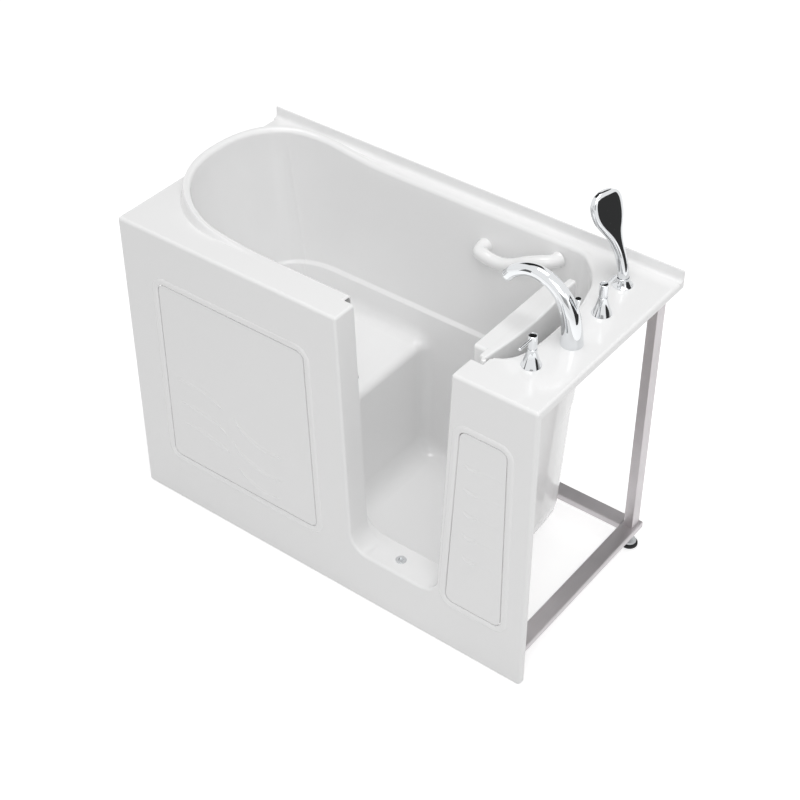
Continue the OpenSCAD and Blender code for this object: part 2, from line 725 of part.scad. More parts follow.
// Flat straps under the footwell, hung from the rails' undersides
strap_t = 4;
strap_w = 40;
strap_x = [20, 330];
module floor_straps() {
    under = floor_z - wall;
    color("gray") for (x = strap_x) translate([x - strap_w / 2, 0, 0]) {
        translate([0, rail_front, under - strap_t]) cube([strap_w, rail_rear - rail_front, strap_t]);
        for (y = [rail_front, rail_rear - rail_w]) translate([0, y, under - strap_t])
            cube([strap_w, rail_w, rail_low - under + strap_t]);
    }
}

// Levelling feet

stud_r = 8;
stud_top = rail_top - tube_t - over;
nut_r = 13;
nut_h = 8;
nut_drop = 4;
foot_cup_r = 20;
foot_cup_h = 14;
pad_r = 25;
pad_h = 10;
module foot_locknuts() {
    color("silver") for (x = [-foot_x, foot_x], y = [foot_y0, foot_y1])
        translate([x, y, rail_low - nut_h]) difference() {
            cylinder(h = nut_h, r = nut_r, $fn = 6);
            translate([0, 0, -over]) cylinder(h = nut_h + 2 * over, r = stud_r + run_gap, $fn = round_fn);
        }
}
module foot(x, y) {
    color("silver") translate([x, y, 0]) {
        translate([0, 0, pad_h]) cylinder(h = foot_cup_h, r = foot_cup_r, $fn = round_fn);
        translate([0, 0, pad_h + foot_cup_h])
            cylinder(h = stud_top - pad_h - foot_cup_h, r = stud_r, $fn = round_fn);
    }
}
module pad(x, y) {
    color("black") translate([x, y, 0]) cylinder(h = pad_h, r = pad_r, $fn = round_fn);
}

// Door, modelled closed and then turned open about its hinge

// Hinge axis in plan
nose_wall = 3.5;
nose_gap = 1.5;
nose_r = pin_r + nose_wall;
hinge_x = door_right + rebate_w - nose_r - nose_gap;
seal_gap = 2;
flange_face = rebate_face + seal_gap;
hinge_in = 2;
flange_back = flange_face + door_flange_t;
hinge_y = flange_back - hinge_in;
plug_face = flange_face - door_plug_d;
door_drop = 2;
door_top = deck_h - door_drop;
door_low_gap = 4;
shell_t = 5;
hinge_z_shares = [0.17, 0.51, 0.85];
hinge_z = [for (t = hinge_z_shares) mix(sill_z, door_top, t)];
knuckle_gap = 0.5;
leaf_t = 2;
leaf_w = 24;

module opened() {
    translate([hinge_x, hinge_y, 0]) rotate([0, 0, -90]) translate([-hinge_x, -hinge_y, 0]) children();
}
// Outline of the door's flange or plug, seen from the front
module door_block(d, low, r, right_lean, y0, y1) {
    intersection() {
        front_block(doorway(d, low, r, deck_h + flange_h, right_lean), y0, y1);
        translate([left_x, y0 - over, 0]) cube([tub_l, y1 - y0 + 2 * over, door_top]);
    }
}
flange_draw = door_gap - rebate_w;
flange_low = rebate_low + door_low_gap;
flange_round = 24;
flange_r = rebate_r + flange_round;
// Room cut from the flange's hinge edge so that it can turn
hinge_edge = hinge_x - nose_r - knuckle_gap;
// Bulged inner face, as an arc in plan
bulge_in = 16;
bulge_start = door_left + bulge_in;
bulge_end = hinge_edge - leaf_w - door_drop;
bulge_chord = bulge_end - bulge_start;
bulge_r = (pow(bulge_chord / 2, 2) + pow(door_bulge, 2)) / (2 * door_bulge);
// The arc leans with the well's end wall, so it is flush with the flange at the door's foot
bulge_lean = atan(door_bulge / (door_top - sill_z));
module bulge_body() {
    translate([(bulge_end + bulge_start) / 2, flange_back, sill_z]) rotate([-bulge_lean, 0, 0])
        translate([0, -bulge_r, -sill_z]) cylinder(h = 2 * deck_h, r = bulge_r, $fn = 4 * round_fn);
}
module flange_body() {
    difference() {
        intersection() {
            door_block(flange_draw, flange_low, flange_r, 0, flange_face, flange_back + door_bulge);
            union() {
                bulge_body();
                translate([left_x, flange_face, 0]) cube([tub_l, door_flange_t, deck_h]);
            }
        }
        translate([hinge_edge, rebate_face - over, 0]) cube([hinge_l, hinge_l, deck_h]);
    }
}
plug_low = sill_z + door_low_gap;
module door_inner_shell() {
    color("white") opened() difference() {
        union() {
            flange_body();
            // Nose round the hinge axis, and the web that joins it to the flange
            translate([hinge_x, hinge_y, hinge_z[0] - hinge_l / 2])
                cylinder(h = door_top - hinge_z[0] + hinge_l / 2, r = nose_r, $fn = round_fn);
            translate([hinge_edge - over, hinge_y - nose_r, hinge_z[0] - hinge_l / 2])
                cube([hinge_x - hinge_edge + over, nose_r, door_top - hinge_z[0] + hinge_l / 2]);
        }
        for (z = hinge_z) translate([hinge_edge - over / 2, rebate_face, z - hinge_l / 2 - knuckle_gap])
            cube([2 * nose_r + hinge_l, 2 * door_flange_t, hinge_l + 2 * knuckle_gap]);
    }
}
module door_outer_shell() {
    color("white") opened() difference() {
        door_block(door_gap, plug_low, sill_r, door_lean, plug_face, flange_face);
        difference() {
            door_block(door_gap + shell_t, plug_low + shell_t, sill_r, door_lean, plug_face + shell_t,
                flange_face + over);
            translate([left_x, plug_face, door_top - shell_t]) cube([tub_l, door_plug_d, shell_t]);
        }
    }
}
// Rubber seal round the outer shell, against the flange
seal_w = 10;
seal_clear = 0.8;
module door_seal() {
    color("dimgray") opened() difference() {
        door_block(seal_clear, sill_z + seal_clear, sill_r, door_lean, flange_face - seal_w,
            flange_face - seat_gap);
        door_block(door_gap, plug_low, sill_r, door_lean, flange_face - seal_w - over, flange_face + over);
    }
}

// Hinges: a middle knuckle on the door between two on the surround
module knuckle(z, h) {
    translate([hinge_x, hinge_y, z]) difference() {
        cylinder(h = h, r = nose_r, $fn = round_fn);
        translate([0, 0, -over]) cylinder(h = h + 2 * over, r = pin_r + run_gap, $fn = round_fn);
    }
}
module door_hinge_leaves() {
    h = hinge_l / 3 - 2 * knuckle_gap;
    color("silver") opened() for (z = hinge_z) {
        knuckle(z - h / 2, h);
        difference() {
            translate([hinge_edge - leaf_w, flange_back, z - h / 2])
                cube([leaf_w + hinge_x - hinge_edge, leaf_t, h]);
            translate([hinge_x, hinge_y, z - h]) cylinder(h = 2 * h, r = pin_r + run_gap, $fn = round_fn);
        }
    }
}
// Side of the rebate next to the hinge
rebate_side = door_right + rebate_w;
module frame_hinge_leaves() {
    h = hinge_l / 3 - knuckle_gap;
    color("silver") for (z = hinge_z) for (s = [-1, 1]) {
        low = s < 0 ? z - hinge_l / 2 : z + hinge_l / 2 - h;
        knuckle(low, h);
        difference() {
            translate([rebate_side - leaf_t, hinge_y - nose_r, low])
                cube([leaf_t, 2 * nose_r, h]);
            translate([hinge_x, hinge_y, low - over])
                cylinder(h = h + 2 * over, r = pin_r + run_gap, $fn = round_fn);
        }
    }
}
module hinge_pins() {
    color("silver") for (z = hinge_z) translate([hinge_x, hinge_y, z - hinge_l / 2])
        cylinder(h = hinge_l, r = pin_r, $fn = round_fn);
}

// Latch: a lever on the well's wall turns over a keeper on the door

latch_down = 278;
latch_z = deck_h - latch_down;
latch_r = 17;
latch_t = 10;
latch_back = 2;
latch_arm_w = 16;
latch_arm_l = 88;
latch_arm_t = 8;
latch_hub_r = 13;
pivot_r = 5;
pivot_head_r = 9;
pivot_head_t = 3;
keeper_w = 24;
keeper_h = 24;
keeper_in = 6;
keeper_gap = 1;
// Left side of the doorway on the well's wall, at the latch's height
latch_side = door_left - rebate_w + door_lean * (deck_h - latch_z) / (deck_h - sill_z);
latch_x = latch_side - latch_r - latch_back;
latch_face = well_y0 + latch_t;
module latch_base() {
    color("silver") translate([latch_x, latch_face, latch_z]) rotate([90, 0, 0]) difference() {
        cylinder(h = latch_t, r = latch_r, $fn = round_fn);
        translate([0, 0, -over]) cylinder(h = latch_t + 2 * over, r = pivot_r + run_gap, $fn = round_fn);
    }
}
module latch_lever() {
    color("silver") translate([latch_x, latch_face + seat_gap, latch_z]) rotate([-90, 0, 0]) difference() {
        union() {
            cylinder(h = latch_arm_t, r = latch_hub_r, $fn = round_fn);
            translate([-latch_arm_w / 2, 0, 0]) cube([latch_arm_w, latch_arm_l, latch_arm_t]);
            translate([0, latch_arm_l, 0]) cylinder(h = latch_arm_t, r = latch_arm_w / 2, $fn = round_fn);
        }
        translate([0, 0, -over])
            cylinder(h = latch_arm_t + 2 * over, r = pivot_r + run_gap, $fn = round_fn);
    }
}
module latch_pivot() {
    out = latch_face + 2 * seat_gap + latch_arm_t;
    color("silver") translate([latch_x, well_y0, latch_z]) rotate([-90, 0, 0]) {
        cylinder(h = out - well_y0, r = pivot_r, $fn = round_fn);
        translate([0, 0, out - well_y0]) cylinder(h = pivot_head_t, r = pivot_head_r, $fn = round_fn);
    }
}
module latch_keeper() {
    color("silver") opened()
        translate([latch_side + door_gap + keeper_in, flange_back, latch_z - keeper_h / 2])
        cube([keeper_w, latch_face - keeper_gap - flange_back, keeper_h]);
}

// Drains and the suction cover

sill_left = 9;
sill_back = 49;
sill_x = door_mid - sill_left;
sill_y = face_y + sill_back;
sill_drain_r = 15;
sill_drain_lip = 4;
sill_drain_t = 3;
sill_drain_l = 26;
module sill_drain() {
    color("silver") translate([sill_x, sill_y, sill_z]) difference() {
        union() {
            cylinder(h = sill_drain_t, r = sill_drain_r, $fn = round_fn);
            translate([0, 0, sill_drain_t - sill_drain_l])
                cylinder(h = sill_drain_l, r = sill_drain_r - sill_drain_lip - seat_gap, $fn = round_fn);
        }
        translate([0, 0, sill_drain_t - sill_drain_lip]) difference() {
            cylinder(h = sill_drain_lip + over, r = sill_drain_r - 2 * sill_drain_lip, $fn = round_fn);
            cylinder(h = sill_drain_lip - over, r = sill_drain_r - 3 * sill_drain_lip, $fn = round_fn);
        }
    }
}
drain_in = 413;
drain_x = right_x - drain_in;
drain_y = 0;
drain_r = 35;
drain_bore = 22;
drain_t = 3;
drain_wall = 3;
waste_low = 6;
stopper_r = 26;
stopper_t = 4;
stopper_lift = 8;
stopper_stem = 5;
waste_r = waste_d / 2;
waste_z = waste_low + waste_r;
waste_in = 32;
waste_tail = 40;
waste_step = 2;
waste_end = rear_y - waste_in;
module drain_cut() {
    translate([drain_x, drain_y, floor_z - 2 * wall])
        cylinder(h = 3 * wall, r = drain_bore + drain_wall + seat_gap, $fn = round_fn);
}
module floor_drain() {
    color("silver") translate([drain_x, drain_y, 0]) difference() {
        union() {
            translate([0, 0, floor_z]) cylinder(h = drain_t, r = drain_r, $fn = round_fn);
            translate([0, 0, waste_low])
                cylinder(h = floor_z - waste_low, r = drain_bore + drain_wall, $fn = round_fn);
            translate([0, 0, waste_z]) rotate([-90, 0, 0])
                cylinder(h = waste_end - drain_y, r = waste_r - waste_step, $fn = round_fn);
            translate([0, waste_end - waste_tail - drain_y, waste_z]) rotate([-90, 0, 0])
                cylinder(h = waste_tail, r = waste_r, $fn = round_fn);
        }
        translate([0, 0, waste_low + drain_wall])
            cylinder(h = floor_z, r = drain_bore, $fn = round_fn);
        translate([0, 0, waste_z]) rotate([-90, 0, 0])
            cylinder(h = waste_end - drain_y + over, r = waste_r - waste_step - drain_wall, $fn = round_fn);
    }
    // Spider that guides the stopper's stem
    color("silver") translate([drain_x, drain_y, floor_z - drain_t]) difference() {
        union() {
            cylinder(h = drain_t, r = stopper_stem + drain_wall, $fn = round_fn);
            for (a = [0, 90]) rotate([0, 0, a]) translate([-drain_bore - over, -drain_wall / 2, 0])
                cube([2 * drain_bore + 2 * over, drain_wall, drain_t]);
        }
        translate([0, 0, -over])
            cylinder(h = drain_t + 2 * over, r = stopper_stem + run_gap, $fn = round_fn);
    }
}
module drain_stopper() {
    color("silver") translate([drain_x, drain_y, floor_z + drain_t + seat_gap]) {
        cylinder(h = stopper_t, r = stopper_r, $fn = round_fn);
        translate([0, 0, -stopper_lift - 3 * drain_t])
            cylinder(h = stopper_lift + 3 * drain_t, r = stopper_stem, $fn = round_fn);
    }
}
// Height of the jets, and the suction cover below them in the front wall
jet_z = 650;
suction_x = -250;
suction_down = 50;
suction_z = jet_z - suction_down;
suction_r = 45;
suction_t = 6;
suction_slots = 7;
suction_slot_w = 4;
suction_neck = 20;
suction_neck_l = 44;
module suction_cut() {
    translate([suction_x, well_y0 - 2 * wall, suction_z - 2 * jet_r]) rotate([-90, 0, 0])
        cylinder(h = 4 * wall, r = suction_neck + seat_gap, $fn = round_fn);
}
module suction_cover() {
    color("silver") translate([suction_x, well_y0, suction_z - 2 * jet_r]) rotate([-90, 0, 0]) difference() {
        union() {
            cylinder(h = suction_t, r = suction_r, $fn = round_fn);
            translate([0, 0, -suction_neck_l])
                cylinder(h = suction_neck_l, r = suction_neck, $fn = round_fn);
        }
        translate([0, 0, -suction_neck_l - over])
            cylinder(h = suction_neck_l + over, r = suction_neck - drain_wall, $fn = round_fn);
        for (i = [0:suction_slots - 1]) let (s = i - (suction_slots - 1) / 2)
            translate([s * 2 * suction_slot_w - suction_slot_w / 2, -suction_neck, -over])
                cube([suction_slot_w, 2 * suction_neck, suction_t + 2 * over]);
    }
}

// Taps and spout on the deck

// Places of the deck fittings, in from the tub's right end and out from its middle
hot_in = 118;
spout_in = 86;
cold_in = 94;
holder_in = 116;
tap_x0 = right_x - hot_in;
tap_y0 = -184;
spout_x = right_x - spout_in;
spout_y = -57;
tap_x1 = right_x - cold_in;
tap_y1 = 91;
holder_x = right_x - holder_in;
holder_y = 224;
fitting_spots = [[tap_x0, tap_y0], [spout_x, spout_y], [tap_x1, tap_y1], [holder_x, holder_y]];
shank_r = 12;
shank_l = 40;
collar_h = 3;
cap_r = 11.5;
cap_h = 38;
lever_r = 4;
skirt_top_r = 12;
skirt_power = 1.8;
tap_top = deck_h + skirt_h + collar_h;

// Flared skirt: a turned outline
module tap_skirt(x, y) {
    color("silver") translate([x, y, deck_h]) {
        rotate_extrude($fn = round_fn) polygon(concat([[0, 0]],
            [for (i = [0:wave_steps]) let (t = i / wave_steps)
                [mix(skirt_top_r, skirt_r, pow(1 - t, skirt_power)), skirt_h * t]], [[0, skirt_h]]));
        translate([0, 0, -wall - shank_l]) cylinder(h = wall + shank_l, r = shank_r, $fn = round_fn);
    }
}
// Cap and lever; way is -1 for a lever towards the front and 1 for one towards the rear
lever_drop = 8;
module tap_lever(x, y, way) {
    color("silver") translate([x, y, deck_h + skirt_h + seat_gap]) {
        cylinder(h = collar_h, r = cap_r - over, $fn = round_fn);
        translate([0, 0, collar_h]) cylinder(h = cap_h - collar_h, r = cap_r, $fn = round_fn);
        translate([0, 0, cap_h - lever_drop]) rotate([-90 * way, 0, 0])
            cylinder(h = lever_l, r = lever_r, $fn = round_fn);
    }
}

// Spout: rings along a curve, as shares of its reach and height, with a radius share
spout_shares = [
    [0, 0, 1.07], [0, 0.03, 1.04], [0.008, 0.18, 1], [0.03, 0.38, 0.93], [0.075, 0.56, 0.87],
    [0.155, 0.73, 0.8], [0.27, 0.86, 0.73], [0.42, 0.955, 0.69], [0.57, 0.99, 0.66],
    [0.71, 0.965, 0.64], [0.82, 0.905, 0.62], [0.91, 0.83, 0.6], [0.985, 0.725, 0.57]];
ring_sides = 20;
function spout_at(i) = [spout_x - spout_reach * spout_shares[i][0], spout_h * spout_shares[i][1]];
function spout_way(i) = let (n = len(spout_shares) - 1)
    i == 0 ? [0, 1] : unit(spout_at(min(i + 1, n)) - spout_at(i - 1));
function ring_mesh_faces(rows, sides) = concat(
    [[for (k = [0:sides - 1]) k]],
    [for (r = [0:rows - 2], k = [0:sides - 1])
        let (a = r * sides + k, b = r * sides + (k + 1) % sides)
        each [[a, b + sides, b], [a, a + sides, b + sides]]],
    [[for (k = [0:sides - 1]) rows * sides - 1 - k]]);
module spout_body() {
    points = [for (i = [0:len(spout_shares) - 1]) let (c = spout_at(i), w = spout_way(i),
        r = spout_r * spout_shares[i][2])
        for (k = [0:ring_sides - 1]) let (a = 360 * k / ring_sides)
            [c[0] + r * cos(a) * w[1], spout_y + r * sin(a), deck_h + c[1] - r * cos(a) * w[0]]];
    polyhedron(points, ring_mesh_faces(len(spout_shares), ring_sides));
}
module spout() {
    color("silver") {
        difference() {
            spout_body();
            diverter_bore();
        }
        translate([spout_x, spout_y, deck_low - shank_l])
            cylinder(h = wall + shank_l + over, r = shank_r, $fn = round_fn);
    }
}
aerator_l = 4;
module spout_aerator() {
    n = len(spout_shares) - 1;
    c = spout_at(n);
    w = spout_way(n);
    color("silver") translate([c[0], spout_y, deck_h + c[1]]) rotate([0, 90 - atan2(w[1], w[0]), 0])
        cylinder(h = aerator_l, r = spout_r * spout_shares[n][2] - over, $fn = round_fn);
}
// Lift rod with a flared knob on the spout's back
rod_r = 2.5;
rod_back = 8;
rod_x = spout_x + rod_back;
knob_r = 8;
knob_h = 22;
knob_low = 116;
rod_low = 40;
diverter_travel = 12;
module diverter_bore() {
    translate([rod_x, spout_y, deck_h + rod_low - 2 * over - diverter_travel])
        cylinder(h = spout_h, r = rod_r + run_gap, $fn = round_fn);
}
module diverter_rod() {
    color("silver") translate([rod_x, spout_y, deck_h]) {
        translate([0, 0, rod_low]) cylinder(h = knob_low - rod_low + over, r = rod_r, $fn = round_fn);
        translate([0, 0, knob_low]) rotate_extrude($fn = round_fn)
            polygon([[0, 0], [knob_r / 2, 0], [knob_r, knob_h - over], [knob_r - over, knob_h], [0, knob_h]]);
    }
}

// Valve bodies and pipes under the deck
valve_r = 21;
valve_h = 58;
valve_nut_h = 8;
nut_out = 8;
valve_top = deck_low - valve_nut_h;
valve_z = valve_top - valve_h / 2;
module deck_nut(x, y) {
    translate([x, y, valve_top]) difference() {
        cylinder(h = valve_nut_h, r = shank_r + nut_out, $fn = 6);
        translate([0, 0, -over]) cylinder(h = valve_nut_h + 2 * over, r = shank_r, $fn = round_fn);
    }
}
module valve_body(x, y) {
    translate([x, y, valve_top - valve_h]) difference() {
        cylinder(h = valve_h, r = valve_r, $fn = round_fn);
        translate([0, 0, valve_h - shank_l + valve_nut_h])
            cylinder(h = shank_l, r = shank_r, $fn = round_fn);
    }
}
bridge_r = 8;
bridge_up = 3;
module valve_bodies() {
    low = valve_top - valve_h + bridge_r + bridge_up;
    color("goldenrod") {
        for (t = fitting_spots) deck_nut(t[0], t[1]);
        for (i = [0:2]) valve_body(fitting_spots[i][0], fitting_spots[i][1]);
        for (i = [0:1]) bridge(fitting_spots[i], fitting_spots[i + 1], low);
    }
}
// Pipe between two valve bodies
module bridge(a, b, z) {
    d = b - a;
    translate([a[0], a[1], z]) rotate([0, 0, atan2(d[1], d[0])]) rotate([0, 90, 0])
        cylinder(h = norm(d), r = bridge_r, $fn = round_fn);
}
// Supply pipes run down behind the right access panel to threaded tails
supply_r = 8;
elbow_r = 12;
supply_back = 83;
supply_y = face_y + supply_back;
supply_low = 150;
inlet_l = 20;
hot_pipe_in = 150;
cold_pipe_in = 95;
hot_x = right_x - hot_pipe_in;
cold_x = right_x - cold_pipe_in;
supply_drop = 18;
module supply_pipe(x, to) {
    z = valve_top - valve_h - supply_drop;
    d = to - [x, supply_y];
    // Down pipe and its inlet
    translate([x, supply_y, supply_low]) difference() {
        union() {
            cylinder(h = z - supply_low, r = supply_r, $fn = round_fn);
            translate([0, 0, -inlet_l]) cylinder(h = inlet_l, r = inlet_d / 2, $fn = round_fn);
        }
        translate([0, 0, -inlet_l - over]) cylinder(h = inlet_l, r = supply_r - over, $fn = round_fn);
    }
    translate([x, supply_y, z]) sphere(elbow_r, $fn = round_fn);
    // Level run back to the valve, and the rise into it
    translate([x, supply_y, z]) rotate([0, 0, atan2(d[1], d[0])]) rotate([0, 90, 0])
        cylinder(h = norm(d), r = supply_r, $fn = round_fn);
    translate([to[0], to[1], z]) sphere(elbow_r, $fn = round_fn);
    translate([to[0], to[1], z]) cylinder(h = supply_drop, r = supply_r, $fn = round_fn);
}
module hot_pipe() {
    color("goldenrod") supply_pipe(hot_x, fitting_spots[0]);
}
module cold_pipe() {
    color("goldenrod") supply_pipe(cold_x, fitting_spots[2]);
}

// Hand shower in its holder
holder_r = 27;
holder_h = 14;
holder_bore = 14.5;
holder_deep = 10;
holder_wall = 3;
holder_lip = 10;
module shower_holder() {
    color("silver") translate([holder_x, holder_y, deck_h]) difference() {
        union() {
            rotate_extrude($fn = round_fn) polygon(concat([[0, 0]],
                [for (i = [0:wave_steps]) let (t = 90 * i / wave_steps)
                    [holder_bore + holder_wall + (holder_r - holder_bore - holder_wall) * cos(t),
                        holder_h * sin(t)]], [[0, holder_h]]));
            cylinder(h = holder_h + holder_lip, r = holder_bore + holder_wall, $fn = round_fn);
            translate([0, 0, -wall - shank_l]) cylinder(h = wall + shank_l, r = shank_r, $fn = round_fn);
        }
        translate([0, 0, holder_h + holder_lip - holder_deep])
            cylinder(h = holder_deep + over, r = holder_bore, $fn = round_fn);
    }
}
// Handset: flattened rings along a leaning curve. Each entry: place across and up as shares of the handset's
// height, then half width and half depth as shares of the head's diameter.
handset_l = 242;
handset_low = holder_h + holder_lip - holder_deep + seat_gap;
handset_shares = [
    [0, 0, 0.138, 0.138], [0, 0.06, 0.139, 0.139], [0.02, 0.15, 0.142, 0.142],
    [0.055, 0.25, 0.146, 0.138], [0.11, 0.35, 0.163, 0.138], [0.175, 0.45, 0.23, 0.142],
    [0.235, 0.53, 0.34, 0.155], [0.28, 0.6, 0.44, 0.168], [0.315, 0.67, 0.49, 0.174],
    [0.34, 0.735, 0.5, 0.176], [0.358, 0.8, 0.475, 0.166], [0.373, 0.86, 0.39, 0.146],
    [0.383, 0.9, 0.2, 0.09]];
// How far the handset is turned in its holder, in degrees
handset_turn = 15;
module handset_turned() {
    translate([holder_x, holder_y, 0]) rotate([0, 0, -handset_turn]) translate([-holder_x, -holder_y, 0]) children();
}
function handset_at(i) = [-handset_l * handset_shares[i][0], handset_l * handset_shares[i][1]];
function handset_way(i) = let (n = len(handset_shares) - 1)
    i <= 1 ? [0, 1] : unit(handset_at(min(i + 1, n)) - handset_at(i - 1));
module handset_body() {
    points = [for (i = [0:len(handset_shares) - 1]) let (c = handset_at(i), w = handset_way(i),
        a = head_d * handset_shares[i][2], b = head_d * handset_shares[i][3])
        for (k = [0:ring_sides - 1]) let (t = 360 * k / ring_sides)
            [holder_x + c[0] + b * cos(t) * w[1], holder_y + a * sin(t),
                deck_h + handset_low + c[1] - b * cos(t) * w[0]]];
    polyhedron(points, ring_mesh_faces(len(handset_shares), ring_sides));
}
face_ring = 9;
face_t = 4;
face_share = 0.78;
face_d = head_d * face_share;
// Middle of the spray face and the way it looks
face_mid = (handset_at(8) + handset_at(9)) / 2;
face_way = unit(handset_at(10) - handset_at(7));
face_out_share = 0.174;
face_out = head_d * face_out_share;
module at_face(out) {
    translate([holder_x + face_mid[0] - face_way[1] * out, holder_y,
        deck_h + handset_low + face_mid[1] + face_way[0] * out])
        rotate([0, -90 - atan2(-face_way[0], face_way[1]), 0]) children();
}
module handset() {
    color("silver") handset_turned() difference() {
        handset_body();
        at_face(face_out - face_t) cylinder(h = head_d, r = face_d / 2 + run_gap, $fn = round_fn);
    }
}
nozzle_r = 1.5;
nozzle_h = 1;
nozzle_shares = [[1, 0], [6, 0.3], [12, 0.6], [16, 0.85]];
module handset_face() {
    color("lightgray") handset_turned() at_face(face_out - face_t) {
        cylinder(h = face_t, r = face_d / 2, $fn = round_fn);
        for (row = nozzle_shares, i = [0:row[0] - 1]) rotate([0, 0, 360 * i / row[0]])
            translate([row[1] * face_d / 2, 0, face_t - over]) cylinder(h = nozzle_h + over, r = nozzle_r, $fn = 12);
    }
}

// Grab bar on the rear wall

// The bar's route: shares of its length along the tub, of its reach out of the well's rear wall, and of its fall
grab_l = 231;
grab_in = 189;
grab_out = 52;
grab_drop = 51;
grab_fall = 51;
grab_shares = [[0, 0.077, 1], [0, 0.423, 0.98], [0.035, 0.808, 0.94], [0.121, 0.962, 0.94],
    [0.242, 0.981, 1.02], [0.381, 1, 0.98], [0.541, 1, 0.706], [0.701, 0.962, 0.294], [0.831, 0.846, 0.059],
    [0.926, 0.635, 0], [0.983, 0.346, 0], [1, 0.038, 0]];
function grab_at(i) = let (s = grab_shares[i])
    [well_x1 - grab_in - grab_l * (1 - s[0]), well_y1 - grab_out * s[1], deck_h - grab_drop - grab_fall * s[2]];
function grab_way(i) = let (n = len(grab_shares) - 1)
    i == 0 || i == n ? [0, i == 0 ? -1 : 1, 0] : unit(grab_at(i + 1) - grab_at(i - 1));
grab_sides = 12;
module grab_bar() {
    points = [for (i = [0:len(grab_shares) - 1]) let (c = grab_at(i), w = grab_way(i),
        u = unit(cross(w, [0, 0, 1])), v = cross(w, u))
        for (k = [0:grab_sides - 1]) let (a = 360 * k / grab_sides)
            let (q = c + grab_r * (cos(a) * u + sin(a) * v))
            i == 0 || i == len(grab_shares) - 1 ? [q[0], rear_at(q[0], q[2]) - seat_gap, q[2]] : q];
    color("white") polyhedron(points, ring_mesh_faces(len(grab_shares), grab_sides));
}
// The well's rear wall at x and height z
function rear_at(x, z) = x <= end_right ? side_rear(z, 0)
    : lookup(x, [for (j = [end_steps:-1:0]) let (q = wall_point(spine_steps + end_steps + j, z, 0)) [q[0], q[1]]]);

// Jets in the front wall, a manifold, and a pump under the seat

jets = 3;
jet_pitch = 120;
jet_first = -370;
jet_neck_r = 20;
jet_body_l = 40;
jet_face_t = 5;
jet_bore = 9;
jet_nozzle_r = 17;
function jet_x(i) = jet_first + i * jet_pitch;
module jet_cuts() {
    for (i = [0:jets - 1]) translate([jet_x(i), well_y0 - 2 * wall, jet_z]) rotate([-90, 0, 0])
        cylinder(h = 4 * wall, r = jet_neck_r + seat_gap, $fn = round_fn);
}
module jet_bodies() {
    color("silver") for (i = [0:jets - 1]) translate([jet_x(i), well_y0, jet_z]) rotate([-90, 0, 0])
        difference() {
            union() {
                cylinder(h = jet_face_t, r = jet_r, $fn = round_fn);
                translate([0, 0, -jet_body_l]) cylinder(h = jet_body_l, r = jet_neck_r, $fn = round_fn);
            }
            translate([0, 0, -wall]) cylinder(h = 3 * wall, r = jet_nozzle_r + run_gap, $fn = round_fn);
            translate([0, 0, -jet_body_l + drain_wall])
                cylinder(h = jet_body_l, r = jet_bore, $fn = round_fn);
        }
}
// Nozzle that turns in its body to open or close the jet
module jet_nozzle(i) {
    color("silver") translate([jet_x(i), well_y0, jet_z]) rotate([-90, 0, 0]) difference() {
        translate([0, 0, -wall + seat_gap])
            cylinder(h = wall + jet_face_t + drain_wall, r = jet_nozzle_r, $fn = round_fn);
        translate([0, 0, -2 * wall]) cylinder(h = 4 * wall, r = jet_bore / 2, $fn = round_fn);
        for (a = [0:90:270]) rotate([0, 0, a]) translate([jet_nozzle_r, 0, jet_face_t])
            cylinder(h = wall, r = jet_bore / 2, $fn = round_fn);
    }
}
pipe_r = pipe_d / 2;
joint_r = pipe_r + 3;
manifold_y = well_y0 - jet_body_l - pipe_r;
riser_x = jet_first - jet_pitch / 2;
pump_x = -330;
pump_y = 20;
pump_z = 210;
wet_l = 70;
wet_r = 75;
module jet_manifold() {
    x1 = jet_x(jets - 1) + jet_pitch / 3;
    color("lightgray") {
        translate([riser_x, manifold_y, jet_z]) rotate([0, 90, 0])
            cylinder(h = x1 - riser_x, r = pipe_r, $fn = round_fn);
        translate([riser_x, manifold_y, pump_z]) cylinder(h = jet_z - pump_z, r = pipe_r, $fn = round_fn);
        translate([riser_x, manifold_y, jet_z]) sphere(joint_r, $fn = round_fn);
        translate([riser_x, manifold_y, pump_z]) sphere(joint_r, $fn = round_fn);
        translate([riser_x, manifold_y, pump_z]) rotate([-90, 0, 0])
            cylinder(h = pump_y - manifold_y, r = pipe_r, $fn = round_fn);
        translate([riser_x, pump_y, pump_z]) sphere(joint_r, $fn = round_fn);
        translate([riser_x, pump_y, pump_z]) rotate([0, 90, 0])
            cylinder(h = pump_x - wet_l - riser_x, r = pipe_r, $fn = round_fn);
    }
}
// The pump's wet end takes water from the suction cover through its neck
module pump_wet_end() {
    neck_y = well_y0 - suction_neck_l - pipe_r;
    color("dimgray") {
        translate([pump_x - wet_l, pump_y, pump_z]) rotate([0, 90, 0])
            cylinder(h = wet_l, r = wet_r, $fn = round_fn);
        translate([suction_x, neck_y, pump_z + wet_r]) rotate([0, 0, 0])
            cylinder(h = suction_z - 2 * jet_r - pump_z - wet_r, r = pipe_r, $fn = round_fn);
        translate([suction_x, neck_y, suction_z - 2 * jet_r]) sphere(joint_r, $fn = round_fn);
        translate([suction_x, neck_y, pump_z + wet_r]) sphere(joint_r, $fn = round_fn);
        translate([suction_x, neck_y, pump_z + wet_r]) rotate([0, 0, suction_turn])
            rotate([0, 90, 0]) cylinder(h = suction_run, r = pipe_r, $fn = round_fn);
        translate([pump_x - wet_l / 2, pump_y, pump_z]) cylinder(h = wet_r, r = pipe_r, $fn = round_fn);
        translate([pump_x - wet_l / 2, pump_y, pump_z + wet_r]) sphere(joint_r, $fn = round_fn);
    }
}
suction_dx = pump_x - wet_l / 2 - suction_x;
suction_dy = pump_y - (well_y0 - suction_neck_l - pipe_r);
suction_turn = atan2(suction_dy, suction_dx);
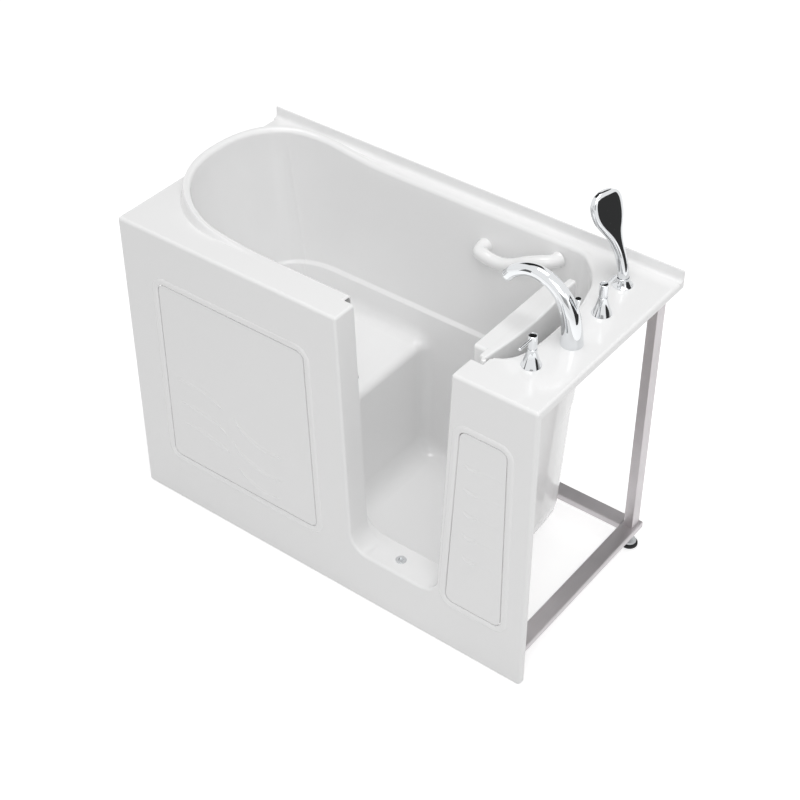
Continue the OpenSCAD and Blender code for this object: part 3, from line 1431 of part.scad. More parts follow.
suction_run = norm([suction_dx, suction_dy]);
module pump_motor() {
    color("slategray") translate([pump_x, pump_y, pump_z]) rotate([0, 90, 0])
        cylinder(h = motor_l, r = motor_r, $fn = round_fn);
}
// Cradle for the motor, on a plate across the front and rear rails
base_t = 5;
base_w = 110;
cradle_w = 30;
module pump_base() {
    color("gray") {
        translate([pump_x + motor_l / 2 - base_w / 2, rail_front, rail_top])
            cube([base_w, rail_rear - rail_front, base_t]);
        for (s = [-1, 1]) translate([pump_x + motor_l / 2 + s * (base_w - cradle_w) / 2 - cradle_w / 2,
            pump_y - motor_r, rail_top]) difference() {
            cube([cradle_w, 2 * motor_r, pump_z - rail_top - motor_r / 2]);
            translate([-over, motor_r, pump_z - rail_top]) rotate([0, 90, 0])
                cylinder(h = cradle_w + 2 * over, r = motor_r, $fn = round_fn);
        }
    }
}

basin();
deck();
front_apron();
door_surround();
left_access_panel();
right_access_panel();
panel_clips();
front_rail();
rear_rail();
left_rail();
right_rail();
corner_posts();
top_rail();
seat_frames();
floor_straps();
foot_locknuts();
foot(-foot_x, foot_y0);  // foot_front_left
foot(foot_x, foot_y0);  // foot_front_right
foot(-foot_x, foot_y1);  // foot_rear_left
foot(foot_x, foot_y1);  // foot_rear_right
pad(-foot_x, foot_y0);  // pad_front_left
pad(foot_x, foot_y0);  // pad_front_right
pad(-foot_x, foot_y1);  // pad_rear_left
pad(foot_x, foot_y1);  // pad_rear_right
door_outer_shell();
door_inner_shell();
door_seal();
door_hinge_leaves();
frame_hinge_leaves();
hinge_pins();
latch_base();
latch_lever();
latch_pivot();
latch_keeper();
sill_drain();
floor_drain();
drain_stopper();
suction_cover();
spout();
spout_aerator();
diverter_rod();
tap_skirt(tap_x0, tap_y0);  // hot_tap_skirt
tap_lever(tap_x0, tap_y0, -1);  // hot_tap_lever
tap_skirt(tap_x1, tap_y1);  // cold_tap_skirt
tap_lever(tap_x1, tap_y1, 1);  // cold_tap_lever
valve_bodies();
hot_pipe();
cold_pipe();
shower_holder();
handset();
handset_face();
grab_bar();
jet_bodies();
jet_nozzle(0);  // jet_nozzle_1
jet_nozzle(1);  // jet_nozzle_2
jet_nozzle(2);  // jet_nozzle_3
jet_manifold();
pump_wet_end();
pump_motor();
pump_base();
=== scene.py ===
"""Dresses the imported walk-in jetted bathtub: one moulded white skin, the open door, chrome deck fittings,
the brushed steel frame on its feet, and the pump, jets and pipes under the deck.

Sizes in the making code are millimetres in the tub's own frame, and become metres when a mesh is made."""

import math

import bmesh
import bpy
import numpy as np
from bpy.props import FloatProperty, FloatVectorProperty, IntProperty, PointerProperty
from mathutils import Matrix, Vector
from mathutils.geometry import delaunay_2d_cdt


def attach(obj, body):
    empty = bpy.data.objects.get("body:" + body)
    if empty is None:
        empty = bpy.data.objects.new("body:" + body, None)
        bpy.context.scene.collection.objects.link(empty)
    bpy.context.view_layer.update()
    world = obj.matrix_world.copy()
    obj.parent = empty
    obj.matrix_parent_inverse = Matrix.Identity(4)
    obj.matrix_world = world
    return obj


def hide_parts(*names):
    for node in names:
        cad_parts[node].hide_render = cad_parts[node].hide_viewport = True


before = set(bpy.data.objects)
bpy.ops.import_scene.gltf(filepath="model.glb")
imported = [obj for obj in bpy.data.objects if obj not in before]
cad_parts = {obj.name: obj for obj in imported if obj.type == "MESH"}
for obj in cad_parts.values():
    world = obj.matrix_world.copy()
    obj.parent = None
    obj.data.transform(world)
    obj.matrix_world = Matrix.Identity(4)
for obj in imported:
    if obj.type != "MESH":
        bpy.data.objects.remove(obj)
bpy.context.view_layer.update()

bl_info = {
    "name": "Walk-in jetted bathtub",
    "version": (1, 0, 0),
    "blender": (4, 5, 0),
    "location": "View3D > Sidebar > Bathtub",
    "description": "Moulded skin, door, chrome fittings, steel frame, jets and pump of a walk-in bathtub",
    "category": "Add Mesh",
}

MM = 0.001


def linear(code):
    """An sRGB hex colour as linear red, green and blue."""
    parts = [int(code[i:i + 2], 16) / 255 for i in (1, 3, 5)]
    return tuple(c / 12.92 if c <= 0.04045 else ((c + 0.055) / 1.055) ** 2.4 for c in parts)


# Sizes and colours that a user would change

def length(name, description, default, low, high):
    return FloatProperty(name=name, description=description, default=default, min=low, max=high,
                         unit="LENGTH")


class BathtubSizes(bpy.types.PropertyGroup):
    """Sizes of the dressed pieces that the plain solids leave out."""
    doorway_edge: length("Doorway edge", "Radius of the doorway's outer edges", 0.008, 0.002, 0.012)
    rebate_edge: length("Rebate edge", "Radius where the rebate meets the well's wall", 0.005, 0.001, 0.006)
    door_edge: length("Door edge", "Radius of the door's edges", 0.006, 0.001, 0.009)
    bead_width: length("Bead width", "Width of the bead round each access panel", 0.019, 0.014, 0.022)
    bead_height: length("Bead height", "Height of that bead above the apron", 0.0038, 0.002, 0.004)
    wave_height: length("Wave height", "Height of the moulded waves", 0.0025, 0.001, 0.0025)
    steel_edge: length("Tube edge", "Outer radius of the steel tubes' corners", 0.0028, 0.001, 0.004)
    thread_pitch: length("Thread pitch", "Pitch of the levelling feet's studs", 0.002, 0.0015, 0.003)
    nozzle_size: length("Spray nozzle", "Diameter of one rubber spray nozzle", 0.003, 0.002, 0.004)
    fins: IntProperty(name="Cooling fins", description="Cooling fins round the pump's motor",
                      default=36, min=12, max=60)


def colour_prop(name, description, code):
    return FloatVectorProperty(name=name, description=description, default=linear(code), size=3,
                               min=0.0, max=1.0, subtype="COLOR")


class BathtubColours(bpy.types.PropertyGroup):
    """Colours of the finishes."""
    gelcoat: colour_prop("Gelcoat", "White of the moulded skin", "#F8F8F8")
    chrome: colour_prop("Chrome", "Tint of the chrome plating", "#E4E6E8")
    steel: colour_prop("Brushed steel", "Tint of the frame's stainless steel", "#D2CED0")
    rubber: colour_prop("Rubber", "Black of the seals and the feet's pads", "#1B1B1C")
    brass: colour_prop("Brass", "Yellow of the valve bodies and supply pipes", "#B8964E")
    pipe: colour_prop("Pipe", "White of the jets' pipes", "#E3E2DC")
    pump: colour_prop("Pump housing", "Black of the pump's wet end", "#26282B")
    motor: colour_prop("Motor paint", "Grey of the motor's paint", "#4A5259")
    spray: colour_prop("Spray face", "Grey of the hand shower's spray face", "#B9BBBD")


# The tub's own sizes, in millimetres

FACE_Y, REAR_Y, END_X = -328.0, 332.0, 673.0
DECK, WALL, EDGE_R, APRON_Z, LIP_Z, APRON_R = 940.0, 6.0, 10.0, 3.0, 920.0, 14.0
FLANGE_H, FLANGE_T, FLANGE_R, COVE_R = 32.0, 6.0, 2.0, 12.0
WELL_Y0, WELL_Y1, WELL_X0, WELL_X1 = -221.0, 284.0, -643.0, 520.0
WELL_MID = (WELL_Y0 + WELL_Y1) / 2
END_L, END_R = 400.0, 300.0
# How far the well's walls lean in for each millimetre of depth
LEAN_LEFT, LEAN_RIGHT, LEAN_REAR, LEAN_LOW = 0.11, 0.062, 0.057, 0.03
RIM_R, BAND_EDGE, HEAD_H, HEAD_X = 14.0, 29.0, 45.0, 250.0
LEDGE_Z, LEDGE_D, LEDGE_RUN = 550.0, 12.0, 12.0
SEAT_Z, FLOOR_Z, SEAT_EDGE, SEAT_R, RISER_R, RISER_DRAFT = 450.0, 60.0, 73.0, 25.0, 60.0, 8.0
FILLET, FILLET_L, FILLET_R = 40.0, 70.0, 158.0
# Powers of the superellipses at three of the well's corners, and the fourth as shares of its width and depth
# from the end's tip round to the rear wall
POWERS = {"front left": 2.0, "rear left": 2.4, "front right": 5.0}
REAR_RIGHT_SHARES = [(1, 0), (0.991, 0.12), (0.968, 0.26), (0.927, 0.406), (0.877, 0.568), (0.818, 0.679),
                     (0.736, 0.786), (0.623, 0.889), (0.545, 0.949), (0.5, 0.98), (0.445, 0.997), (0.364, 1),
                     (0, 1)]
# The crease's height, half width and distance from its corner's middle, its angle at its foot in degrees, how
# far it turns on its way up, and the heights of its foot and of that way
CREASE_HIGH, CREASE_HALF, CREASE_REACH = 1.8, 4.5, 260.0
CREASE_ANGLE, CREASE_TURN, CREASE_Z, CREASE_LONG = 61.5, 10.0, 526.0, 430.0
DOOR_L, DOOR_R, DOOR_LEAN, SILL_Z, SILL_R = 71.0, 426.0, 33.0, 168.0, 55.0
REBATE_W, REBATE_FACE, POCKET_X, POCKET_DEEP = 34.0, -254.0, 250.0, 60.0
PANEL_LEFT = [(-544, 177), (-17, 177), (-40, 778), (-544, 778)]
PANEL_RIGHT = [(423, 177), (597, 177), (592, 778), (455, 778)]
PANEL_R, PANEL_GAP, PANEL_T, PANEL_EDGE = 22.0, 2.5, 5.0, 1.6
RELIEF_PITCH = 2.8
HINGE = (452.0, -234.0)
DRAIN, DRAIN_R = (260.0, 0.0), 25.3
SILL_DRAIN, SILL_DRAIN_R = (239.5, -279.0), 11.3
SUCTION = (-250.0, 540.0)
JETS_X, JET_Z, JET_R = (-370.0, -250.0, -130.0), 650.0, 20.3
HOT_TAP, SPOUT, COLD_TAP, HOLDER = (555.0, -184.0), (587.0, -57.0), (579.0, 91.0), (557.0, 224.0)
SHANK_R, SHANK_LOW = 12.0, -46.0    # of what stands in the deck's holes, from the deck's top
PUMP = (0.0, 20.0, 210.0)           # a point on the pump's axis, which runs along X


def smooth(t):
    t = np.clip(t, 0, 1)
    return t * t * (3 - 2 * t)


def mix(a, b, t):
    return a + (b - a) * t


def unit(v):
    return v / np.linalg.norm(v)


def rounding(r, steps=6):
    """Places round a quarter circle: how deep each one lies, and how far it is drawn in."""
    return [(r * (1 - math.cos(t)), r * (1 - math.sin(t))) for t in np.radians(np.linspace(0, 90, steps + 1))]


def rod(r, low, high, chamfer):
    """The turned profile of a rod with chamfered ends."""
    inner = r - chamfer
    return [(0, low), (inner, low), (r, low + chamfer), (r, high - chamfer), (inner, high), (0, high)]


# Shapes

class Shape:
    """Points in millimetres and their faces, gathered before they become one mesh."""

    def __init__(self):
        self.points, self.faces = [], []

    def add(self, points, faces):
        base = len(self.points)
        self.points.extend(tuple(float(c) for c in p) for p in points)
        self.faces.extend(tuple(base + i for i in f) for f in faces)
        return self

    def rings(self, rings, closed=False, caps=(True, True)):
        """A skin over rings of equally many points, capped at its ends or closed into a loop."""
        n, rows = len(rings[0]), len(rings)
        faces = [(r * n + k, r * n + (k + 1) % n, (r + 1) % rows * n + (k + 1) % n, (r + 1) % rows * n + k)
                 for r in range(rows if closed else rows - 1) for k in range(n)]
        if caps[0] and not closed:
            faces.append(tuple(range(n))[::-1])
        if caps[1] and not closed:
            faces.append(tuple((rows - 1) * n + k for k in range(n)))
        return self.add([p for ring in rings for p in ring], faces)

    def turned(self, profile, at=(0, 0, 0), way=(0, 0, 1), sides=64, closed=False):
        """A turned body: the profile is [radius, place along the axis] from one end to the other."""
        w = np.array(Vector(way).normalized())
        u = np.array(Vector(way).orthogonal().normalized())
        v = np.cross(w, u)
        turn = [2 * math.pi * k / sides for k in range(sides)]
        return self.rings([[np.array(at) + w * s + r * (u * math.cos(t) + v * math.sin(t)) for t in turn]
                           for r, s in profile], closed)

    def prism(self, outline, y0, y1):
        """A block of an outline [x, z] between two distances from the front."""
        return self.rings([[(x, y, z) for x, z in outline] for y in (y0, y1)])

    def block(self, low, high):
        (a, b, c), (d, e, f) = low, high
        return self.rings([[(a, b, z), (d, b, z), (d, e, z), (a, e, z)] for z in (c, f)])

    def tube(self, low, high, axis, wall, r):
        """A rectangular tube along one axis, with rounded corners inside and out."""
        i, j = [k for k in range(3) if k != axis]

        def ring(inset, radius, along):
            out = []
            for si, sj, start in ((1, 1, 0), (0, 1, 90), (0, 0, 180), (1, 0, 270)):
                ci = (high[i] - inset - radius) if si else (low[i] + inset + radius)
                cj = (high[j] - inset - radius) if sj else (low[j] + inset + radius)
                for s in range(4):
                    t = math.radians(start + 30 * s)
                    p = [0.0, 0.0, 0.0]
                    p[axis], p[i], p[j] = along, ci + radius * math.cos(t), cj + radius * math.sin(t)
                    out.append(p)
            return out
        a, b = low[axis], high[axis]
        return self.rings([ring(0, r, a), ring(0, r, b), ring(wall, max(0.4, r - wall), b),
                           ring(wall, max(0.4, r - wall), a)], closed=True)


def new_object(name, mesh):
    made = bpy.data.objects.new(name, mesh)
    bpy.context.scene.collection.objects.link(made)
    return made


def solid(name, shape):
    """An object from a Shape, in metres, with its faces pointing outwards."""
    mesh = bpy.data.meshes.new(name)
    mesh.from_pydata([tuple(c * MM for c in p) for p in shape.points], [], shape.faces)
    work = bmesh.new()
    work.from_mesh(mesh)
    bmesh.ops.remove_doubles(work, verts=work.verts, dist=0.000002)
    bmesh.ops.recalc_face_normals(work, faces=work.faces)
    work.to_mesh(mesh)
    work.free()
    return new_object(name, mesh)


def lathe(name, profile, at, way=(0, 0, 1), sides=64):
    return solid(name, Shape().turned(profile, at, way, sides))


def baked(made):
    """Turns what an object's modifiers give into its plain mesh."""
    graph = bpy.context.evaluated_depsgraph_get()
    mesh = bpy.data.meshes.new_from_object(made.evaluated_get(graph), depsgraph=graph)
    old = made.data
    made.modifiers.clear()
    made.data = mesh
    if isinstance(old, bpy.types.Mesh) and not old.users:
        bpy.data.meshes.remove(old)
    mesh.name = made.name
    return made


def combined(made, operation, other):
    """Adds another object to one, or cuts it out or keeps only what both hold."""
    change = made.modifiers.new("join", "BOOLEAN")
    change.operation, change.solver, change.object = operation, "EXACT", other
    baked(made)
    bpy.data.meshes.remove(other.data)
    return made


def joined(made, shape):
    return combined(made, "UNION", solid("joined", shape))


def cut(made, shape):
    return combined(made, "DIFFERENCE", solid("cutter", shape))


def finished(made, key, body="tub", nodes=None, sharp=32, weighted=True):
    """Shades a piece smooth up to an angle, gives it its finish, and hangs it on its body. It stands for the
    node that it is named after, or for the given ones."""
    mesh = made.data
    mesh.materials.clear()
    mesh.materials.append(FINISHES[key])
    mesh.polygons.foreach_set("material_index", [0] * len(mesh.polygons))
    mesh.polygons.foreach_set("use_smooth", [True] * len(mesh.polygons))
    mesh.set_sharp_from_angle(angle=math.radians(sharp))
    if weighted:
        # Flat faces keep their own normal, and only the round edges between them turn
        change = made.modifiers.new("flat faces", "WEIGHTED_NORMAL")
        change.keep_sharp, change.weight, change.mode = True, 60, "FACE_AREA"
    mesh.update()
    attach(made, body)
    if nodes is None:
        nodes = [made.name.removesuffix("_form")]
    if nodes:
        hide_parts(*nodes)
    return made


def softened(node, width):
    """A clean copy of a CAD node with its sharp edges rounded."""
    made = new_object(node + "_form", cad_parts[node].data.copy())
    work = bmesh.new()
    work.from_mesh(made.data)
    bmesh.ops.remove_doubles(work, verts=work.verts, dist=0.00001)
    bmesh.ops.dissolve_limit(work, angle_limit=math.radians(1.0), verts=work.verts, edges=work.edges)
    edges = [e for e in work.edges if len(e.link_faces) == 2 and e.is_manifold
             and e.calc_face_angle(0) > math.radians(35)]
    bmesh.ops.bevel(work, geom=edges, offset=width * MM, offset_type="OFFSET", segments=3, profile=0.5,
                    affect="EDGES", clamp_overlap=True)
    work.to_mesh(made.data)
    work.free()
    return made


# Materials

def put(tree, kind, inputs=None, **settings):
    """Adds a node with its settings. An input is a value, another node's output, or a node, for its first
    output."""
    made = tree.nodes.new(kind)
    for key, value in settings.items():
        setattr(made, key, value)
    for key, value in (inputs or {}).items():
        if isinstance(value, bpy.types.Node):
            value = value.outputs[0]
        if isinstance(value, bpy.types.NodeSocket):
            tree.links.new(value, made.inputs[key])
        else:
            made.inputs[key].default_value = value
    return made


def cleared(holder):
    """The empty node tree of a new material or world."""
    holder.use_nodes = True
    holder.node_tree.nodes.clear()
    return holder.node_tree


FINISHES = {}


def finish(key, name, colour, second, rough, grain, depth, drift, metallic=0.0, ior=1.5, stretch=(1, 1, 1)):
    """A procedural finish. second is its other tint, or that tint's share of the first, rough the lowest and
    highest roughness, grain the size of its texture in mm and depth the texture's height in mm, drift the
    size in mm of its slow colour changes, and stretch draws the texture out along an axis."""
    made = bpy.data.materials.new(name)
    tree = cleared(made)
    other = second if hasattr(second, "__len__") else [c * second for c in colour]
    place = put(tree, "ShaderNodeTexCoord").outputs["Object"]
    drawn = put(tree, "ShaderNodeMapping", {"Vector": place, "Scale": stretch})
    slow = put(tree, "ShaderNodeTexNoise", {"Vector": place, "Scale": 1000 / drift, "Detail": 3.0})
    fine = put(tree, "ShaderNodeTexNoise", {"Vector": drawn, "Scale": 1000 / grain, "Detail": 4.0,
                                            "Roughness": 0.6})
    # Sockets 6 and 7 are the mix node's colours A and B, and its output 2 is the mixed colour
    tint = put(tree, "ShaderNodeMix", {0: slow, 6: (*colour, 1), 7: (*other, 1)}, data_type="RGBA")
    spread = put(tree, "ShaderNodeMapRange", {"Value": fine, "From Min": 0.3, "From Max": 0.7,
                                              "To Min": rough[0], "To Max": rough[1]})
    bump = put(tree, "ShaderNodeBump", {"Height": fine, "Strength": 1.0, "Distance": depth * MM})
    shader = put(tree, "ShaderNodeBsdfPrincipled", {
        "Base Color": tint.outputs[2], "Metallic": metallic, "Roughness": spread, "Normal": bump, "IOR": ior})
    put(tree, "ShaderNodeOutputMaterial", {"Surface": shader})
    FINISHES[key] = made


def make_finishes(tints):
    """The part's materials, from its colours."""
    # Sprayed gelcoat, wet-sanded and polished: a deep soft gloss with a trace of orange peel
    finish("gelcoat", "polished_white_gelcoat", tints.gelcoat, 0.985, (0.10, 0.16), 9, 0.006, 260)
    # Chrome-plated brass: a mirror with hair-fine wiping marks
    finish("chrome", "chrome_plated_brass", tints.chrome, 0.97, (0.03, 0.06), 3, 0.0006, 60, 1.0)
    # Brushed stainless steel: grain drawn along each tube, one finish for each direction
    for axis, stretch in (("x", (0.03, 1, 1)), ("y", (1, 0.03, 1)), ("z", (1, 1, 0.03))):
        finish("steel_" + axis, "brushed_stainless_" + axis, tints.steel, 0.8, (0.34, 0.5), 1.2, 0.02, 90,
               1.0, stretch=stretch)
    # Zinc-plated steel fasteners: a dull, faintly mottled grey
    finish("zinc", "zinc_plated_steel", linear("#C2C4C6"), linear("#A3A6A8"), (0.25, 0.4), 4, 0.01, 15, 1.0)
    # EPDM rubber: matt, with a dusty grain
    finish("rubber", "epdm_rubber", tints.rubber, 1.6, (0.6, 0.8), 1.5, 0.05, 25)
    # Cast and drawn brass, left bare under the deck: warm, slightly tarnished
    finish("brass", "bare_brass", tints.brass, 0.7, (0.22, 0.4), 5, 0.03, 40, 1.0)
    # Rigid PVC pipe: off-white, with a satin extruded skin
    finish("pipe", "rigid_white_pvc", tints.pipe, 0.95, (0.32, 0.42), 14, 0.02, 150, ior=1.53)
    # Glass-filled polypropylene of the pump's wet end: black with a fine spark-eroded grain
    finish("pump", "moulded_black_polypropylene", tints.pump, 1.4, (0.42, 0.58), 1.0, 0.05, 50, ior=1.49)
    # Stove enamel over the cast motor case: an even satin with the casting's pebble under it
    finish("motor", "grey_stove_enamel", tints.motor, 0.85, (0.35, 0.5), 3, 0.06, 70)
    # Soft spray nozzles and their plate: grey, satin
    finish("spray", "satin_grey_spray_plate", tints.spray, 0.9, (0.3, 0.42), 2, 0.01, 20, ior=1.49)
    finish("nozzle", "grey_silicone", linear("#6B6E71"), linear("#5E6164"), (0.5, 0.65), 1, 0.02, 10,
           ior=1.41)


# What follows a path or repeats

TREES = {}


def tree_of(build, values):
    """The Geometry Nodes tree of a building function, with one input for each value: build adds its nodes and
    returns the last one."""
    if build not in TREES:
        tree = TREES[build] = bpy.data.node_groups.new(build.__name__, "GeometryNodeTree")
        for way in ("INPUT", "OUTPUT"):
            tree.interface.new_socket("Geometry", in_out=way, socket_type="NodeSocketGeometry")
        for label, value in values.items():
            kind = "NodeSocketInt" if isinstance(value, int) else "NodeSocketFloat"
            tree.interface.new_socket(label, in_out="INPUT", socket_type=kind)
        last = build(tree, tree.nodes.new("NodeGroupInput").outputs)
        real = put(tree, "GeometryNodeRealizeInstances", {"Geometry": last})
        put(tree, "NodeGroupOutput", {"Geometry": real})
    return TREES[build]


def grown_by(build, made, **values):
    """Runs a tree on an object and keeps the result as a plain mesh."""
    tree = tree_of(build, values)
    change = made.modifiers.new("made", "NODES")
    change.node_group = tree
    for item in tree.interface.items_tree:
        if item.item_type == "SOCKET" and item.in_out == "INPUT" and item.name in values:
            change[item.identifier] = values[item.name]
    return baked(made)


def swept_tube(tree, given):
    """A tube along the base mesh's line, as wide at each point as its radius says."""
    line = put(tree, "GeometryNodeMeshToCurve", {"Mesh": given["Geometry"]})
    wide = put(tree, "GeometryNodeInputNamedAttribute", {"Name": "radius"}, data_type="FLOAT")
    ring = put(tree, "GeometryNodeCurvePrimitiveCircle", {"Resolution": given["Sides"], "Radius": 1.0})
    return put(tree, "GeometryNodeCurveToMesh", {"Curve": line, "Profile Curve": ring,
                                                 "Scale": wide.outputs["Attribute"], "Fill Caps": True})


def cooling_fins(tree, given):
    """Copies of the base mesh turned round the X axis."""
    dots = put(tree, "GeometryNodeMeshLine", {"Count": given["Count"], "Offset": (0, 0, 0)})
    index = put(tree, "GeometryNodeInputIndex")
    angle = put(tree, "ShaderNodeMath", {0: index, 1: given["Turn"]}, operation="MULTIPLY")
    spin = put(tree, "ShaderNodeCombineXYZ", {"X": angle})
    turn = put(tree, "FunctionNodeEulerToRotation", {"Euler": spin})
    return put(tree, "GeometryNodeInstanceOnPoints", {
        "Points": dots, "Instance": given["Geometry"], "Rotation": turn})


def spray_nozzles(tree, given):
    """A small round nozzle on each of the base mesh's points."""
    peg = put(tree, "GeometryNodeMeshUVSphere", {"Segments": 12, "Rings": 8, "Radius": given["Radius"]})
    return put(tree, "GeometryNodeInstanceOnPoints", {"Points": given["Geometry"], "Instance": peg})


def panel_bead(tree, given):
    """A bead along the base mesh's loop: an oval section, sunk so that only its crest stands out."""
    line = put(tree, "GeometryNodeMeshToCurve", {"Mesh": given["Geometry"]})
    facing = put(tree, "GeometryNodeSetCurveNormal", {"Curve": line, "Normal": (0.0, -1.0, 0.0)}, mode="FREE")
    ring = put(tree, "GeometryNodeCurvePrimitiveCircle", {"Resolution": 40, "Radius": 1.0})
    size = put(tree, "ShaderNodeCombineXYZ", {"X": given["Height"], "Y": given["Width"], "Z": 1.0})
    down = put(tree, "ShaderNodeMath", {0: given["Sink"], 1: -1.0}, operation="MULTIPLY")
    place = put(tree, "ShaderNodeCombineXYZ", {"X": down})
    oval = put(tree, "GeometryNodeTransform", {"Geometry": ring, "Translation": place, "Scale": size})
    return put(tree, "GeometryNodeCurveToMesh", {"Curve": facing, "Profile Curve": oval})


def screw_thread(tree, given):
    """A screw thread round the Z axis, as a ridge on a helix from the origin up."""
    turns = put(tree, "ShaderNodeMath", {0: given["Length"], 1: given["Pitch"]}, operation="DIVIDE")
    coil = put(tree, "GeometryNodeCurveSpiral", {"Resolution": 28, "Rotations": turns,
                                                 "Start Radius": given["Radius"],
                                                 "End Radius": given["Radius"], "Height": given["Length"]})
    half = put(tree, "ShaderNodeMath", {0: given["Pitch"], 1: 0.46}, operation="MULTIPLY")
    ring = put(tree, "GeometryNodeCurvePrimitiveCircle", {"Resolution": 4, "Radius": half})
    upright = put(tree, "GeometryNodeSetCurveNormal", {"Curve": coil}, mode="Z_UP")
    return put(tree, "GeometryNodeCurveToMesh", {"Curve": upright, "Profile Curve": ring, "Fill Caps": True})


def swept(name, points, radii, sides=32):
    """A tube in millimetres along points; its radius is one number, or one for each point."""
    mesh = bpy.data.meshes.new(name)
    n = len(points)
    mesh.from_pydata([tuple(c * MM for c in p) for p in points], [(i, i + 1) for i in range(n - 1)], [])
    wide = mesh.attributes.new("radius", "FLOAT", "POINT")
    wide.data.foreach_set("value", [r * MM for r in (radii if hasattr(radii, "__len__") else [radii] * n)])
    return grown_by(swept_tube, new_object(name, mesh), Sides=sides)


def threaded(name, at, radius, pitch, length):
    """A screw thread in millimetres, standing on a point."""
    made = grown_by(screw_thread, new_object(name, bpy.data.meshes.new(name)), Radius=radius * MM,
                    Pitch=pitch * MM, Length=length * MM)
    made.data.transform(Matrix.Translation([c * MM for c in at]))
    return made


def eased(points, count):
    """A smooth curve through points, with count places spread evenly along it."""
    points = np.array(points, float)
    step = np.r_[0, np.cumsum(np.linalg.norm(np.diff(points[:, :3], axis=0), axis=1) ** 0.5 + 1e-9)]
    slope = np.gradient(points, step, axis=0)
    at = np.linspace(0, step[-1], 40 * len(points))
    i = np.clip(np.searchsorted(step, at, side="right") - 1, 0, len(points) - 2)
    h = (step[i + 1] - step[i])[:, None]
    t = ((at - step[i])[:, None]) / h
    curve = ((2 * t**3 - 3 * t**2 + 1) * points[i] + (t**3 - 2 * t**2 + t) * h * slope[i]
             + (-2 * t**3 + 3 * t**2) * points[i + 1] + (t**3 - t**2) * h * slope[i + 1])
    run = np.r_[0, np.cumsum(np.linalg.norm(np.diff(curve[:, :3], axis=0), axis=1))]
    return np.array([np.interp(np.linspace(0, run[-1], count), run, curve[:, c])
                     for c in range(points.shape[1])]).T


def merged(made, *others):
    """Adds other objects' meshes to an object's own."""
    work = bmesh.new()
    for one in (made, *others):
        work.from_mesh(one.data)
    work.to_mesh(made.data)
    work.free()
    for one in others:
        bpy.data.meshes.remove(one.data)
    return made


def bent(points, bend, steps=8):
    """A path whose corners are rounded to a bend radius."""
    pts = [np.array(p, float) for p in points]
    out = [pts[0]]
    for before, p, after in zip(pts, pts[1:], pts[2:]):
        u, v = unit(before - p), unit(after - p)
        half = math.acos(float(np.clip(u @ v, -1, 1))) / 2
        middle = p + unit(u + v) * (bend / math.sin(half))
        a, b = p + u * bend / math.tan(half) - middle, p + v * bend / math.tan(half) - middle
        turn = math.pi - 2 * half
        out += [middle + (a * math.sin((1 - s) * turn) + b * math.sin(s * turn)) / math.sin(turn)
                for s in np.linspace(0, 1, steps + 1)]
    return out + [pts[-1]]


# The moulded skin

def side_left(z, g):
    return WELL_X0 + LEAN_LEFT * (DECK - z) - g


def side_right(z, g):
    return WELL_X1 - LEAN_RIGHT * (DECK - z) + g


def side_rear(z, g):
    return (WELL_Y1 - LEAN_REAR * (DECK - np.maximum(z, LEDGE_Z)) - LEAN_LOW * np.maximum(0, LEDGE_Z - z)
            - LEDGE_D * smooth((LEDGE_Z - z) / LEDGE_RUN + 0.5) + g)


def rise(x):
    return HEAD_H * smooth((-HEAD_X - x) / (END_X - HEAD_X))


